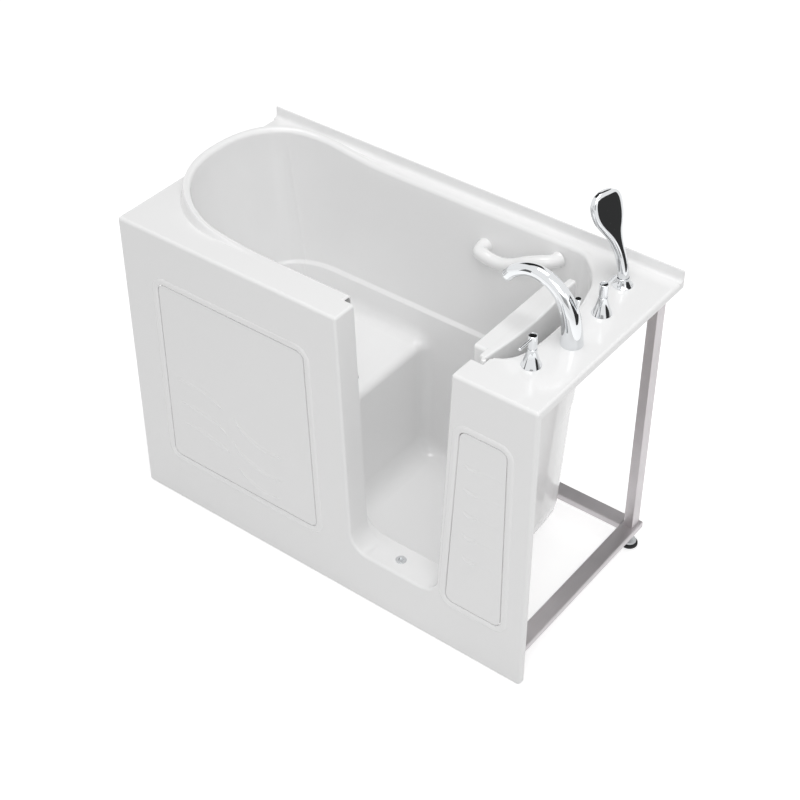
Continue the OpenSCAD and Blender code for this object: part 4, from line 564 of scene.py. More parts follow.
class Well:
    """The well's skin as rows of points: one column for each place round the loop."""

    def __init__(self):
        # Steps along the seat, round its edge, down the riser, round its foot and along the floor, and steps
        # along each quarter of the rounded ends
        a, b, c, d, e = 14, 8, 6, 10, 14
        ends = 30
        foot = RISER_DRAFT - SEAT_EDGE
        turn = lambda n: np.radians(np.linspace(0, 90, n + 1)[1:])
        spine = [(x, SEAT_Z, 0, 1) for x in np.linspace(-END_L, -SEAT_EDGE - SEAT_R, a + 1)]
        spine += [(-SEAT_EDGE - SEAT_R + SEAT_R * np.sin(t), SEAT_Z - SEAT_R + SEAT_R * np.cos(t),
                   np.sin(t), np.cos(t)) for t in turn(b)]
        spine += [(mix(-SEAT_EDGE, foot, s), mix(SEAT_Z - SEAT_R, FLOOR_Z + RISER_R, s), 1, 0)
                  for s in np.linspace(0, 1, c + 1)[1:]]
        spine += [(foot + RISER_R - RISER_R * np.cos(t), FLOOR_Z + RISER_R - RISER_R * np.sin(t),
                   np.cos(t), np.sin(t)) for t in turn(d)]
        spine += [(x, FLOOR_Z, 0, 1) for x in np.linspace(foot + RISER_R, END_R, e + 1)[1:]]
        spine = np.array(spine)
        steps = len(spine) - 1
        # Angles of the rounded corners from the end's tip round, spread so that the points stand evenly
        quarters = {}
        for key, power in POWERS.items():
            t = np.linspace(0, np.pi / 2, 4000)
            wide = WELL_X1 - END_R if "right" in key else -END_L - WELL_X0
            deep = WELL_MID - WELL_Y0 if "front" in key else WELL_Y1 - WELL_MID
            x, y = wide * np.cos(t) ** (2 / power), deep * np.sin(t) ** (2 / power)
            run = np.r_[0, np.cumsum(np.hypot(np.diff(x), np.diff(y)))]
            places = np.linspace(0, run[-1], ends + 1)
            if key == "rear left":
                # Points stand closer together along the crease
                crease = np.interp(math.radians(56), t, run) + np.linspace(-27, 27, 15)
                places = np.sort(np.r_[np.linspace(0, run[-1], ends - 14), crease])
            quarters[key] = np.interp(places, run, t)
        size = (WELL_X1 - END_R, WELL_Y1 - WELL_MID)
        corner = eased([(a * size[0], b * size[1]) for a, b in REAR_RIGHT_SHARES], ends + 1)[:-1] / size
        turns = np.r_[np.zeros(steps), -quarters["front right"][::-1][:-1],
                      np.arctan2(corner[:, 1], corner[:, 0]), np.zeros(steps),
                      np.pi - quarters["rear left"][::-1][:-1], np.pi + quarters["front left"][:-1]]
        spots = np.r_[np.arange(steps), np.zeros(2 * ends), np.arange(steps, 0, -1), np.zeros(2 * ends)]
        # Kind 0 is the front wall, 1 the right end, 2 the rear wall and 3 the left end
        self.kind = np.repeat([0, 1, 2, 3], [steps, 2 * ends, steps, 2 * ends])
        self.turn, self.steps, self.ends, self.n = turns, steps, ends, len(turns)
        self.spine = spine[spots.astype(int)]
        self.share = spots / steps
        self.flat = (self.kind == 0) | (self.kind == 2)
        back = np.sin(turns) >= 0
        power = np.where(self.kind == 1, POWERS["front right"],
                         np.where(back, POWERS["rear left"], POWERS["front left"]))
        bend = lambda v: np.sign(v) * np.abs(v) ** (2 / power)
        self.reach = np.c_[bend(np.cos(turns)), bend(np.sin(turns))]
        self.reach[(self.kind == 1) & back] = corner

    def row(self, z, g, x_flat=None, near=0.0, long=0.0):
        """Points of one loop at heights z, grown outwards by g. x_flat places those on the flat walls, and
        near and long draw in the flat walls and the ends."""
        z = np.zeros(self.n) + z
        if x_flat is None:
            even = mix(-END_L, END_R, self.share)
            deep = self.spine[:, 0] + FILLET * self.spine[:, 2]
            x_flat = mix(even, deep, smooth((DECK - z) / (DECK - LEDGE_Z)))
        across, along = self.reach.T
        left, right = side_left(z, g) + long, side_right(z, g) - long
        front, rear = WELL_Y0 - g + near + 0 * z, side_rear(z, g) - near
        x = np.where(self.flat, x_flat, np.where(self.kind == 1, END_R + (right - END_R) * across,
                                                 -END_L + (-END_L - left) * across))
        y = np.where(self.kind == 0, front, np.where(self.kind == 2, rear,
                     WELL_MID + np.where(along < 0, WELL_MID - front, rear - WELL_MID) * along))
        if g == 0:
            # A shallow crease stands out where the raised end turns into the rear wall
            turn = math.pi - self.turn
            angle = CREASE_ANGLE - CREASE_TURN * np.clip((z - CREASE_Z) / CREASE_LONG, 0, 1)
            off = CREASE_REACH * (turn - np.radians(angle))
            high = CREASE_HIGH * np.exp(-(off / CREASE_HALF) ** 2)
            high = high * smooth((z - CREASE_Z - 4) / 14) * smooth((DECK - RIM_R - z) / 20)
            high = np.where((self.kind == 3) & (turn < math.pi / 2), high, 0)
            x, y = x + high * np.cos(turn), y - high * np.sin(turn)
        return np.c_[x, y, z]

    def band(self, offset, lift, drop):
        """The loop at the deck, grown by offset, with a share of the headrest's rise and dropped a little."""
        q = self.row(DECK, offset)
        q[:, 2] = DECK - drop + lift * rise(q[:, 0])
        return q

    def fillet(self, turn, g):
        """One loop of the rounding between the walls and the bottom."""
        draw = 1 - math.cos(turn)
        h = (FILLET + g) * (1 - math.sin(turn)) - g
        flat = self.row(self.spine[:, 1] + h * self.spine[:, 3], g,
                        self.spine[:, 0] + h * self.spine[:, 2], near=(FILLET + g) * draw)
        low = np.where(self.kind == 1, FLOOR_Z, SEAT_Z)
        far = np.where(self.kind == 1, FILLET_R, FILLET_L)
        r = mix(FILLET, far, np.cos(self.turn) ** 2) + g
        end = self.row(low - g + r * (1 - math.sin(turn)), g, near=(FILLET + g) * draw, long=(far + g) * draw)
        return np.where(self.flat[:, None], flat, end)

    def loops(self, g):
        """One skin from the band down to the bottom: the inner one for g 0, the outer one for the wall."""
        if g == 0:
            # The first loop lies just under the deck, so that no two faces share a plane
            band = [self.band(BAND_EDGE, 0, 0.3)]
            band += [self.band(o, float(smooth((BAND_EDGE - o) / 11)), 0)
                     for o in (27.5, 26, 24.5, 23, 21.5, 20, 18, 16)]
        else:
            band = [self.band(BAND_EDGE, 0, g), self.band(24, 0.45, g), self.band(19, 1, g)]
        rim = [self.band(RIM_R - (RIM_R - g) * math.cos(t), 1, RIM_R - (RIM_R - g) * math.sin(t))
               for t in np.radians(np.linspace(90, 0, 9 if g == 0 else 5))]
        first = self.row(DECK - 2 * RIM_R, g)
        neck = [mix(rim[-1], first, s) for s in (0.12, 0.5)]
        walls = [first] + [self.row(z, g) for z in (880, 840, 800, 760, 720, 680, 640, 610, 590, 576)]
        ledge = [self.row(LEDGE_Z + s * LEDGE_RUN, g) for s in np.linspace(0.5, -0.5, 11)]
        start = self.fillet(0.0, g)
        low = [mix(ledge[-1], start, s) for s in (0.3, 0.65, 0.96)]
        turns = np.radians(np.linspace(0, 90, 10 if g == 0 else 7))
        return band + rim + neck + walls + ledge + low + [self.fillet(t, g) for t in turns]

    def opposite(self, k):
        s, e = self.steps, self.ends
        return (2 * s + 2 * e - k) if k <= s + e else (2 * s + 2 * e + self.n - k) % self.n

    def bottom(self, base):
        """Faces of the bottom inside the last loop, in strips from front to rear."""
        s, e, out = self.steps, self.ends, []
        for k in list(range(s + e)) + list(range(2 * s + 3 * e, self.n)):
            a, b = k, (k + 1) % self.n
            c, d = self.opposite(b), self.opposite(a)
            face = [a, b, c, d] if b != c else [a, b, d]
            out.append(tuple(base + i for i in dict.fromkeys(face)))
        return out

    def shell(self):
        """The closed shell between the two skins."""
        # From the inner skin's bottom up to the band, over its edge, and down the outer skin
        loops = self.loops(0)[::-1] + self.loops(WALL)
        made = Shape().rings(loops, caps=(False, False))
        made.faces += self.bottom(0) + self.bottom((len(loops) - 1) * self.n)
        return made

    def space(self, g):
        """The space in the well, grown by g, up to above the deck."""
        loops = self.loops(g)[3:]
        top = loops[0].copy()
        top[:, 2] = DECK + 100
        loops = [top] + loops
        made = Shape().rings(loops, caps=(False, False))
        made.faces += self.bottom((len(loops) - 1) * self.n) + [tuple(range(self.n))]
        return made


def doorway(d, low, r, right_lean, flare):
    """Outline [x, z] of the doorway drawn in by d, from the top left down and round; flare rounds its top."""
    high, top = DECK + FLANGE_H, DECK + 80
    x0, x1 = DOOR_L + d, DOOR_R - d
    lean0, lean1 = [lean * (high - low) / (DECK - SILL_Z) for lean in (DOOR_LEAN, right_lean)]
    left = lambda z: x0 + lean0 * (high - z) / (high - low)
    right = lambda z: x1 - lean1 * (high - z) / (high - low)
    brow = [(deep, DECK - inset) for deep, inset in rounding(flare)[::-1]] if flare else []
    out = [(left(DECK) - flare, top)] + [(left(DECK) - x, z) for x, z in brow]
    for middle, lean, way, start in ((x0 + lean0 + r, lean0, -1, 180), (x1 - lean1 - r, lean1, 1, 270)):
        slope = math.sin(math.atan(lean / (high - low)))
        for t in np.radians(np.linspace(start, start + 90, 13)):
            up = r + r * math.sin(t)
            out.append((middle + r * math.cos(t) + way * up * slope, low + up))
    return out + [(right(DECK) + x, z) for x, z in brow[::-1]] + [(right(DECK) + flare, top)]


def door_line(d, flare=0.0):
    return doorway(d, SILL_Z + d, SILL_R - min(d, 0), DOOR_LEAN, flare)


def rebate_line(d, flare=0.0):
    return doorway(d - REBATE_W, SILL_Z - WALL + d, SILL_R + REBATE_W / 2 - min(d, 0), 0, flare)


def pocket_line(d, flare=0.0):
    return doorway(d - REBATE_W, SILL_Z - WALL + d, 8.0 - min(d, 0), 0, flare)


def rounded(corners, r, d, steps=10):
    """Outline of a convex polygon grown by d, with its corners rounded by r + d. r is one radius, or one for
    each corner."""
    pts = [np.array(p, float) for p in corners]
    n = len(pts)
    radii = r if hasattr(r, "__len__") else [r] * n

    def halves(i):
        u, v = unit(pts[i - 1] - pts[i]), unit(pts[(i + 1) % n] - pts[i])
        return unit(u + v), math.acos(float(u @ v)) / 2
    pts = [pts[i] - halves(i)[0] * (d / math.sin(halves(i)[1])) for i in range(n)]
    out = []
    for i in range(n):
        m, half = halves(i)
        bend = max(0.05, radii[i] + d)
        middle = pts[i] + m * (bend / math.sin(half))
        start, span = math.atan2(m[1], m[0]) + math.pi - (math.pi / 2 - half), math.pi - 2 * half
        out += [middle + bend * np.array([math.cos(start + span * k / steps),
                                          math.sin(start + span * k / steps)]) for k in range(steps + 1)]
    return [tuple(p) for p in out]


def tub_block(inset, low_z, behind):
    """A block as large as the tub, drawn in by inset, with its front and end edges rounded above."""
    low = (-END_X + inset, FACE_Y + inset, low_z)
    high = (END_X - inset, REAR_Y + behind, DECK - inset)
    made = solid("tub_skin", Shape().block(low, high))
    work = bmesh.new()
    work.from_mesh(made.data)
    planes = ((0, low[0]), (0, high[0]), (1, low[1]), (2, high[2]))
    edges = [e for e in work.edges if sum(
        all(abs(v.co[axis] - place * MM) < 1e-5 for v in e.verts) for axis, place in planes) == 2]
    bmesh.ops.bevel(work, geom=edges, offset=(EDGE_R - inset) * MM, segments=8, profile=0.5, affect="EDGES",
                    clamp_overlap=False)
    work.to_mesh(made.data)
    work.free()
    return made


def skin(sizes):
    """Apron, deck, doorway surround and well in one moulded skin."""
    flare, inner = sizes.doorway_edge / MM, sizes.rebate_edge / MM
    well = Well()
    made = tub_block(0, APRON_Z, 0)
    combined(made, "DIFFERENCE", tub_block(WALL, -60, 80))
    # Open ends below the lip, and the apron's rounded lower corners
    cut(made, Shape().block((-END_X - 5, FACE_Y + EDGE_R + 3, -50), (END_X + 5, REAR_Y + 50, LIP_Z)))
    corners = Shape()
    for side in (-1, 1):
        arc = [(side * (END_X - inset), APRON_Z + deep) for deep, inset in rounding(APRON_R, 8)]
        corners.prism([(side * (END_X + 4), -1), (side * (END_X - APRON_R), -1), *arc,
                       (side * (END_X + 4), APRON_Z + APRON_R)], FACE_Y - 5, FACE_Y + 30)
    cut(made, corners)
    # Surround of the doorway and its rebate, inside the rounded outside and clear of the well
    surround = solid("surround", Shape().prism(door_line(-WALL), FACE_Y, REBATE_FACE))
    joined(surround, Shape().prism(rebate_line(-WALL), REBATE_FACE - WALL, WELL_Y0))
    cut(surround, well.space(2))
    combined(made, "UNION", combined(surround, "INTERSECT", tub_block(0, APRON_Z, 0)))
    # Tile flange with its cove below and its two rounded edges above
    back, foot = REAR_Y - FLANGE_T, REAR_Y - FLANGE_T - COVE_R - 1
    section = [(REAR_Y, DECK - WALL), (foot, DECK - WALL), (foot, DECK)]
    section += [(back - inset, DECK + deep) for deep, inset in rounding(COVE_R, 8)]
    edge = [(deep, DECK + FLANGE_H - inset) for deep, inset in rounding(FLANGE_R, 3)]
    section += [(back + y, z) for y, z in edge] + [(REAR_Y - y, z) for y, z in edge[::-1]]
    joined(made, Shape().rings([[(x, y, z) for y, z in section] for x in (-END_X, END_X)]))
    # The well: the deck is opened first, a little inside the band's edge
    hole = well.band(BAND_EDGE - 1.5, 0, 0)
    cut(made, Shape().rings([[(x, y, z) for x, y, _ in hole] for z in (DECK - 60, DECK + 60)]))
    joined(made, well.shell())
    # Walls of the hinge pocket, which let the door turn past the well's rounded corner
    pocket = solid("pocket", Shape().prism(pocket_line(-WALL), WELL_Y0 - 1, WELL_Y0 + POCKET_DEEP))
    combined(pocket, "INTERSECT", solid("kept", Shape().block((POCKET_X - 1.5, -300, 60), (700, 0, DECK))))
    combined(made, "UNION", cut(pocket, well.space(2)))
    # Doorway, with its edges rounded at the front and at the deck
    edge = [(FACE_Y + deep, -inset) for deep, inset in rounding(flare)]
    rings = [(FACE_Y - 30, -flare), *edge, (REBATE_FACE + 3, 0)]
    cut(made, Shape().rings([[(x, y, z) for x, z in door_line(d, flare)] for y, d in rings]))
    # Rebate, rounded where it meets the well's wall; on the right it runs back into the pocket
    edge = [(WELL_Y0 - deep, -inset) for deep, inset in rounding(inner)[::-1]]
    rings = [(REBATE_FACE, 0), *edge, (WELL_Y0 + 30, -inner)]
    cut(made, Shape().rings([[(x, y, z) for x, z in rebate_line(d, flare)] for y, d in rings]))
    space = [(x, z) for x, z in pocket_line(0, flare) if x > POCKET_X]
    cut(made, Shape().prism([(POCKET_X, FLOOR_Z + 2), *space, (POCKET_X, DECK + 80)], WELL_Y0 - 1,
                            WELL_Y0 + POCKET_DEEP + 1))
    # Holes for the panels, jets, suction cover and drains
    holes = Shape()
    for outline in (PANEL_LEFT, PANEL_RIGHT):
        holes.prism(rounded(outline, PANEL_R, PANEL_GAP), FACE_Y - 10, FACE_Y + WALL + 4)
    cut(made, holes)
    holes = Shape()
    for x, z in [(x, JET_Z) for x in JETS_X] + [SUCTION]:
        holes.turned([(JET_R, -16), (JET_R, 8)], (x, WELL_Y0, z), (0, 1, 0), 32)
    holes.turned([(DRAIN_R, -12), (DRAIN_R, 6)], (*DRAIN, FLOOR_Z), sides=48)
    holes.turned([(SILL_DRAIN_R, -12), (SILL_DRAIN_R, 6)], (*SILL_DRAIN, SILL_Z), sides=32)
    return cut(made, holes)


# Panels with a relief

def depth_inside(outline, points):
    """How far inside a convex outline each point is."""
    a = np.array(outline)
    b = np.roll(a, -1, axis=0)
    kept = np.linalg.norm(b - a, axis=1) > 1e-6
    a, edge = a[kept], (b - a)[kept]
    side = np.sign(np.sum(edge[:, 1] * a[:, 0] - edge[:, 0] * a[:, 1]))
    away = points[:, None, :] - a[None]
    across = edge[:, 0] * away[:, :, 1] - edge[:, 1] * away[:, :, 0]
    return (side * across / np.linalg.norm(edge, axis=1)).min(axis=1)


def sheet(outline, pitch):
    """Points and triangles inside a convex outline, spaced by the pitch."""
    low, high = np.min(outline, axis=0), np.max(outline, axis=0)
    axes = [np.arange(low[k] + pitch / 2, high[k], pitch) for k in (0, 1)]
    grid = np.array(np.meshgrid(*axes)).reshape(2, -1).T
    grid = grid[depth_inside(outline, grid) > 0.4 * pitch]
    points, _, faces, *_ = delaunay_2d_cdt([Vector(p) for p in [*outline, *grid]], [],
                                           [list(range(len(outline)))], 1, 1e-5)
    return np.array([(p.x, p.y) for p in points]), faces


def spaced(outline, per_corner, parts):
    """The outline with each straight side between two corners split into parts."""
    out, n = [], len(outline)
    for i, p in enumerate(outline):
        out.append(p)
        if (i + 1) % per_corner == 0:
            q = outline[(i + 1) % n]
            out += [(mix(p[0], q[0], k / parts), mix(p[1], q[1], k / parts)) for k in range(1, parts)]
    return out


def slab(corners, radii, y_face, y_back, pitch, height, edge, back_edge=0.0, parts=1):
    """A panel with rounded edges whose face carries a relief; height gives how far the face stands out."""
    way = 1 if y_back > y_face else -1
    line = lambda inset: spaced(rounded(corners, radii, -inset), 11, parts)
    face_line = line(edge)
    flat, faces = sheet(face_line, pitch)
    shape = Shape().add([(x, y_face - way * h, z) for (x, z), h in zip(flat, height(flat))], faces)
    rim = height(np.array(face_line))
    rings = [[(x, y_face + way * (deep - h), z) for (x, z), h in zip(line(inset), rim)]
             for deep, inset in rounding(edge)]
    rings += [[(x, y_back - way * deep, z) for x, z in line(inset)]
              for deep, inset in (rounding(back_edge, 4)[::-1] if back_edge else [(0, 0)])]
    return shape.rings(rings, caps=(False, True))


def ridge(points, curve, half, high, fine=0.5, broad=1.25, taper=0.75):
    """Relief of one moulded wave: a ridge along a curve, fine on one side and broad on the other, that thins
    out towards both ends."""
    line = eased(curve, 80)
    away = points[:, None, :] - line[None]
    far = np.linalg.norm(away, axis=2)
    near = far.argmin(axis=1)
    way = np.gradient(line, axis=0)[near]
    off = away[np.arange(len(points)), near]
    side = way[:, 0] * off[:, 1] - way[:, 1] * off[:, 0]
    wide = half * np.sin(np.pi * np.clip(near / 79, 0.001, 0.999)) ** taper * np.where(side > 0, fine, broad)
    return high * np.clip(1 - (far[np.arange(len(points)), near] / wide) ** 2, 0, 1) ** 1.6


WAVES = [[(-512, 469), (-443, 478), (-385, 461), (-340, 438)],
         [(-502, 391), (-430, 388), (-364, 374), (-329, 349)],
         [(-499, 315), (-437, 317), (-370, 304), (-319, 287)],
         [(-303, 435), (-280, 403), (-231, 378), (-173, 369), (-123, 371)],
         [(-314, 349), (-287, 311), (-229, 290), (-179, 281), (-128, 287)],
         [(-306, 256), (-264, 226), (-213, 209), (-139, 213)]]


def wave_relief(high):
    """Six thin waves, as on the panel in front of the seat."""
    def height(points):
        out = np.zeros(len(points))
        for curve in WAVES:
            out = np.maximum(out, ridge(points, curve, 12, high, 0.7, 1.0))
        return out
    return height


def ripple_relief(high):
    """Five small ripples, each a shallow smile that runs out into a faint line."""
    def height(points):
        out = np.zeros(len(points))
        for z in (674, 595, 516, 438, 359):
            smile = [(470, z + 3), (481, z - 3), (494, z - 5), (506, z - 3), (518, z + 2)]
            out += ridge(points, smile, 8, 0.75 * high, 0.7, 1.0)
            out -= ridge(points, [(x, y + 6) for x, y in smile], 7, 0.45 * high, 1.0, 0.7)
            out += ridge(points, [(512, z + 1), (534, z + 5), (562, z + 7), (584, z + 6)], 6, 0.3 * high)
        return out
    return height


def panel_beads(high, half):
    """A bead round each panel. Its oval section's middle lies under the apron's face, and at the face it is
    as wide as its size says."""
    sink = 2.5
    wide = half / math.sqrt(1 - (sink / (sink + high)) ** 2)
    beads = []
    for corners in (PANEL_LEFT, PANEL_RIGHT):
        line = spaced(rounded(corners, PANEL_R, PANEL_GAP + wide, 14), 15, 40)
        mesh = bpy.data.meshes.new("bead")
        mesh.from_pydata([(x * MM, FACE_Y * MM, z * MM) for x, z in line],
                         [(i, (i + 1) % len(line)) for i in range(len(line))], [])
        beads.append(grown_by(panel_bead, new_object("panel_beads", mesh), Height=(sink + high) * MM,
                              Width=wide * MM, Sink=sink * MM))
    return merged(*beads)


# The door, drawn closed and swung open

DOOR_TOP, PLUG_FACE, PLUG_BACK, LEAF_BACK = 938.0, -288.0, -252.0, -232.0
PLUG, PLUG_RADII = [(77.45, DOOR_TOP), (110.2, 172), (386.8, 172), (419.55, DOOR_TOP)], (9, 55, 55, 9)
LEAF, LEAF_RADII = [(43.5, DOOR_TOP), (76.5, 166), (444.5, 166), (444.5, DOOR_TOP)], (9, 96, 80, 5)
KNUCKLE_GAPS = ((344.4, 515.2), (606.2, 777.0), (868.0, DOOR_TOP))
NOSE_R, SEAL_TOP = 6.5, 922.0
SEAL_LIPS = ((-259.4, 1.6), (-254.9, 1.7))    # each lip's place and radius


def swung(shape):
    """Turns a shape drawn with the door closed to the open door's place."""
    shape.points = [(HINGE[0] + y - HINGE[1], HINGE[1] - x + HINGE[0], z) for x, y, z in shape.points]
    return shape


def door_bulge(points):
    """The inner face's bulge: full at the top, and flush with the flange at the door's foot."""
    x, z = points[:, 0], points[:, 1]
    crown = 13 * (z - SILL_Z) / 770 - (x - 253) ** 2 / 2132
    soft = 0.5 * (crown + np.sqrt(crown ** 2 + 3))
    return soft * smooth((x - 50) / 26) * smooth((437 - x) / 22) * smooth((z - 172) / 40)


def door_outer(sizes):
    edge = sizes.door_edge / MM
    line = lambda inset: rounded(PLUG, PLUG_RADII, -inset)
    rings = [[(x, PLUG_FACE + deep, z) for x, z in line(inset)] for deep, inset in rounding(edge)]
    rings.append([(x, PLUG_BACK, z) for x, z in line(0)])
    return solid("door_outer_form", swung(Shape().rings(rings)))


def door_inner(sizes):
    shape = slab(LEAF, LEAF_RADII, LEAF_BACK, PLUG_BACK, 11, door_bulge, sizes.door_edge / MM, 3, parts=30)
    # The nose round the hinge axis, between the three hinges, and its web
    for low, high in KNUCKLE_GAPS:
        shape.turned(rod(NOSE_R, low, high, 1.2), (*HINGE, 0), sides=32)
        shape.block((440, HINGE[1] - NOSE_R, low), (HINGE[0], HINGE[1] - 0.2, high - 0.4))
    # Bonding paste fills the joint between the two shells at the top
    shape.block((87, PLUG_BACK, 900), (410.5, PLUG_BACK + 3, DOOR_TOP - 0.05))
    return solid("door_inner_form", swung(shape))


def door_seal():
    """Two lips of the rubber seal round the outer shell, which end a little under the door's top."""
    lips = []
    for y, r in SEAL_LIPS:
        line = rounded(PLUG, PLUG_RADII, 1.6)[10:34]
        for end, near in ((0, 1), (-1, -2)):
            share = (SEAL_TOP - line[near][1]) / (line[end][1] - line[near][1])
            line[end] = (mix(line[near][0], line[end][0], share), SEAL_TOP)
        path = Shape()
        path.points = [(x, y, z) for x, z in line]
        lips.append(swept("door_seal_form", swung(path).points, r, 16))
    return merged(*lips)


# Fittings on the deck

def tap_skirt(name, at):
    flare = [(12 + 14 * (1 - t) ** 1.5, 0.8 + 48.6 * t) for t in np.linspace(0, 1, 30)]
    profile = [(0, SHANK_LOW), (SHANK_R, SHANK_LOW), (SHANK_R, 0), (25.4, 0), *flare, (11.5, 50), (0, 50)]
    return lathe(name, profile, (*at, DECK), sides=96)


def tap_lever(name, at, way):
    """The cap with its grooved top, and the lever that points away from the spout."""
    low = DECK + 50.3
    cap = [(0, 0), (10.4, 0), (10.4, 3), (11.1, 3.1), (11.5, 3.6), (11.5, 36.4), (11.1, 37.5), (10.2, 38),
           (9.6, 38), (9.2, 37.5), (0, 37.8)]
    shape = Shape().turned(cap, (*at, low), sides=72)
    lever = [(0, 4), (4.2, 4), (4.1, 13), (3.8, 24), (3.9, 40), (4.0, 54)]
    lever += [(4 * math.cos(t), 54 + 4 * math.sin(t)) for t in np.radians(np.linspace(12, 90, 7))]
    return solid(name, shape.turned(lever, (*at, low + 30), (0, way, 0), 32))


# Shares of the spout's reach, its height and its radius at the foot
SPOUT_SHARES = [(0, 0, 1.07), (0, 0.03, 1.045), (0.008, 0.18, 1), (0.03, 0.38, 0.93), (0.075, 0.56, 0.87),
                (0.155, 0.73, 0.8), (0.27, 0.86, 0.73), (0.42, 0.955, 0.69), (0.57, 0.99, 0.66),
                (0.71, 0.965, 0.64), (0.82, 0.905, 0.62), (0.91, 0.83, 0.6), (0.985, 0.725, 0.57)]
SPOUT_REACH, SPOUT_HIGH, SPOUT_R = 195.0, 166.0, 27.0


def spout():
    """The arched spout with its round lip and its shank, and the aerator in its end."""
    line = eased([(SPOUT[0] - SPOUT_REACH * s, SPOUT_HIGH * h, SPOUT_R * r) for s, h, r in SPOUT_SHARES], 72)
    points = [(x, SPOUT[1], DECK + z) for x, z, _ in line]
    made = swept("spout_form", points, [r for *_, r in line], 64)
    way = np.array(points[-1]) - np.array(points[-2])
    turns = np.linspace(0, 2 * math.pi, 12, endpoint=False)
    bead = [(15.0 + 0.8 * math.cos(t), 0.8 * math.sin(t) - 0.6) for t in turns]
    lip = Shape().turned(bead, points[-1], way, 64, True)
    lip.turned([(0, SHANK_LOW), (SHANK_R, SHANK_LOW), (SHANK_R, 2)], (*SPOUT, DECK), sides=40)
    ring = [(0, -1), (14.2, -1), (14.2, 3.2), (13.6, 3.8), (11.8, 4), (11.4, 2.2), (0, 2.2)]
    return merged(made, solid("lip", lip)), lathe("spout_aerator_form", ring, points[-1], way)


# Shares of the hand shower's length, forward and up, and of its width, for half its width and half its depth
HANDSET_SHARES = [(0, 0, 0.138, 0.138), (0, 0.06, 0.139, 0.139), (0.02, 0.15, 0.142, 0.142),
                  (0.055, 0.25, 0.146, 0.138), (0.11, 0.35, 0.163, 0.138), (0.175, 0.45, 0.23, 0.142),
                  (0.235, 0.53, 0.34, 0.155), (0.28, 0.6, 0.44, 0.168), (0.315, 0.67, 0.49, 0.174),
                  (0.34, 0.735, 0.5, 0.176), (0.358, 0.8, 0.475, 0.166), (0.373, 0.86, 0.39, 0.146),
                  (0.383, 0.9, 0.2, 0.09)]
HANDSET_LONG, HANDSET_WIDE, HANDSET_TURN = 242.0, 100.0, -15.0
HANDSET_LOW = DECK + 14.3
FACE_MID = np.array([-HANDSET_LONG * (0.315 + 0.34) / 2, HANDSET_LONG * (0.67 + 0.735) / 2])
FACE_WAY = np.array([-(0.358 - 0.28), 0.8 - 0.6]) / math.hypot(0.078, 0.2)
FACE_OUT, FACE_R, NOZZLE_REACH, PLATE_T = 13.4, 38.8, 39.0, 3.4


def at_face(out):
    """A point on the spray face's axis, and the way the face looks."""
    place = (HOLDER[0] + FACE_MID[0] - FACE_WAY[1] * out, HOLDER[1],
             HANDSET_LOW + FACE_MID[1] + FACE_WAY[0] * out)
    return place, (-FACE_WAY[1], 0, FACE_WAY[0])


def hand_turned(made):
    """Turns a piece of the hand shower in its holder."""
    made.data.transform(Matrix.Translation((HOLDER[0] * MM, HOLDER[1] * MM, 0))
                        @ Matrix.Rotation(math.radians(HANDSET_TURN), 4, "Z")
                        @ Matrix.Translation((-HOLDER[0] * MM, -HOLDER[1] * MM, 0)))
    return made


def handset():
    """The handle swells into the head; the head's back is squarer than its front."""
    line = eased([(-HANDSET_LONG * x, HANDSET_LONG * z, HANDSET_WIDE * a, HANDSET_WIDE * b)
                  for x, z, a, b in HANDSET_SHARES], 64)
    way = np.gradient(line[:, :2], axis=0)
    way /= np.linalg.norm(way, axis=1)[:, None]
    rings = []
    for (x, z, a, b), (wx, wz) in zip(line, way):
        square = 1 - 0.45 * float(np.clip((a / b - 1) / 1.3, 0, 1))
        ring = []
        for t in np.linspace(0, 2 * math.pi, 64, endpoint=False):
            c, s = math.cos(t), math.sin(t)
            p = square if c > 0 else 1.0
            c, s = math.copysign(abs(c) ** p, c), math.copysign(abs(s) ** p, s)
            ring.append((HOLDER[0] + x + b * c * wz, HOLDER[1] + a * s, HANDSET_LOW + z - b * c * wx))
        rings.append(ring)
    last = np.array(rings[-1])
    tip = last.mean(axis=0)
    for share, up in ((0.8, 0.4), (0.45, 0.7), (0.12, 0.8)):
        onward = up * np.array([way[-1][0], 0, way[-1][1]])
        rings.append([tuple(tip + share * (p - tip) + onward) for p in last])
    made = solid("handset_form", Shape().rings(rings))
    place, look = at_face(FACE_OUT)
    return hand_turned(cut(made, Shape().turned([(FACE_R + 0.3, 0), (FACE_R + 0.3, 60)], place, look, 96)))


def spray_face(nozzle):
    """The plate in the head, and its rings of nozzles."""
    place, look = at_face(FACE_OUT)
    plate = [(0, 0), (FACE_R, 0), (38.9, 3.2), (38.3, 3.8), (37.1, 3.9), (36.5, PLATE_T), (0, PLATE_T)]
    made = hand_turned(lathe("handset_face_form", plate, place, look, 96))
    along = Vector(look).orthogonal().normalized()
    across = Vector(look).cross(along)
    points = []
    for count, share in ((1, 0), (6, 0.3), (12, 0.6), (18, 0.85)):
        for i in range(count):
            t = 2 * math.pi * i / count
            out = NOZZLE_REACH * share * (along * math.cos(t) + across * math.sin(t))
            points.append(tuple((p + o + PLATE_T * w) * MM for p, o, w in zip(place, out, look)))
    mesh = bpy.data.meshes.new("nozzles")
    mesh.from_pydata(points, [], [])
    nozzles = grown_by(spray_nozzles, new_object("handset_nozzles", mesh), Radius=nozzle / 2)
    return made, hand_turned(nozzles)


def diverter_rod():
    profile = [(0, 40), (2.5, 40), (2.5, 116), (3.9, 116.4), (4.3, 118), (4.9, 122), (5.9, 127.5),
               (7.1, 132.5), (7.9, 136), (7.9, 137), (7.4, 137.7), (6.6, 138), (0, 138)]
    return lathe("diverter_rod_form", profile, (SPOUT[0] + 8, SPOUT[1], DECK), sides=48)


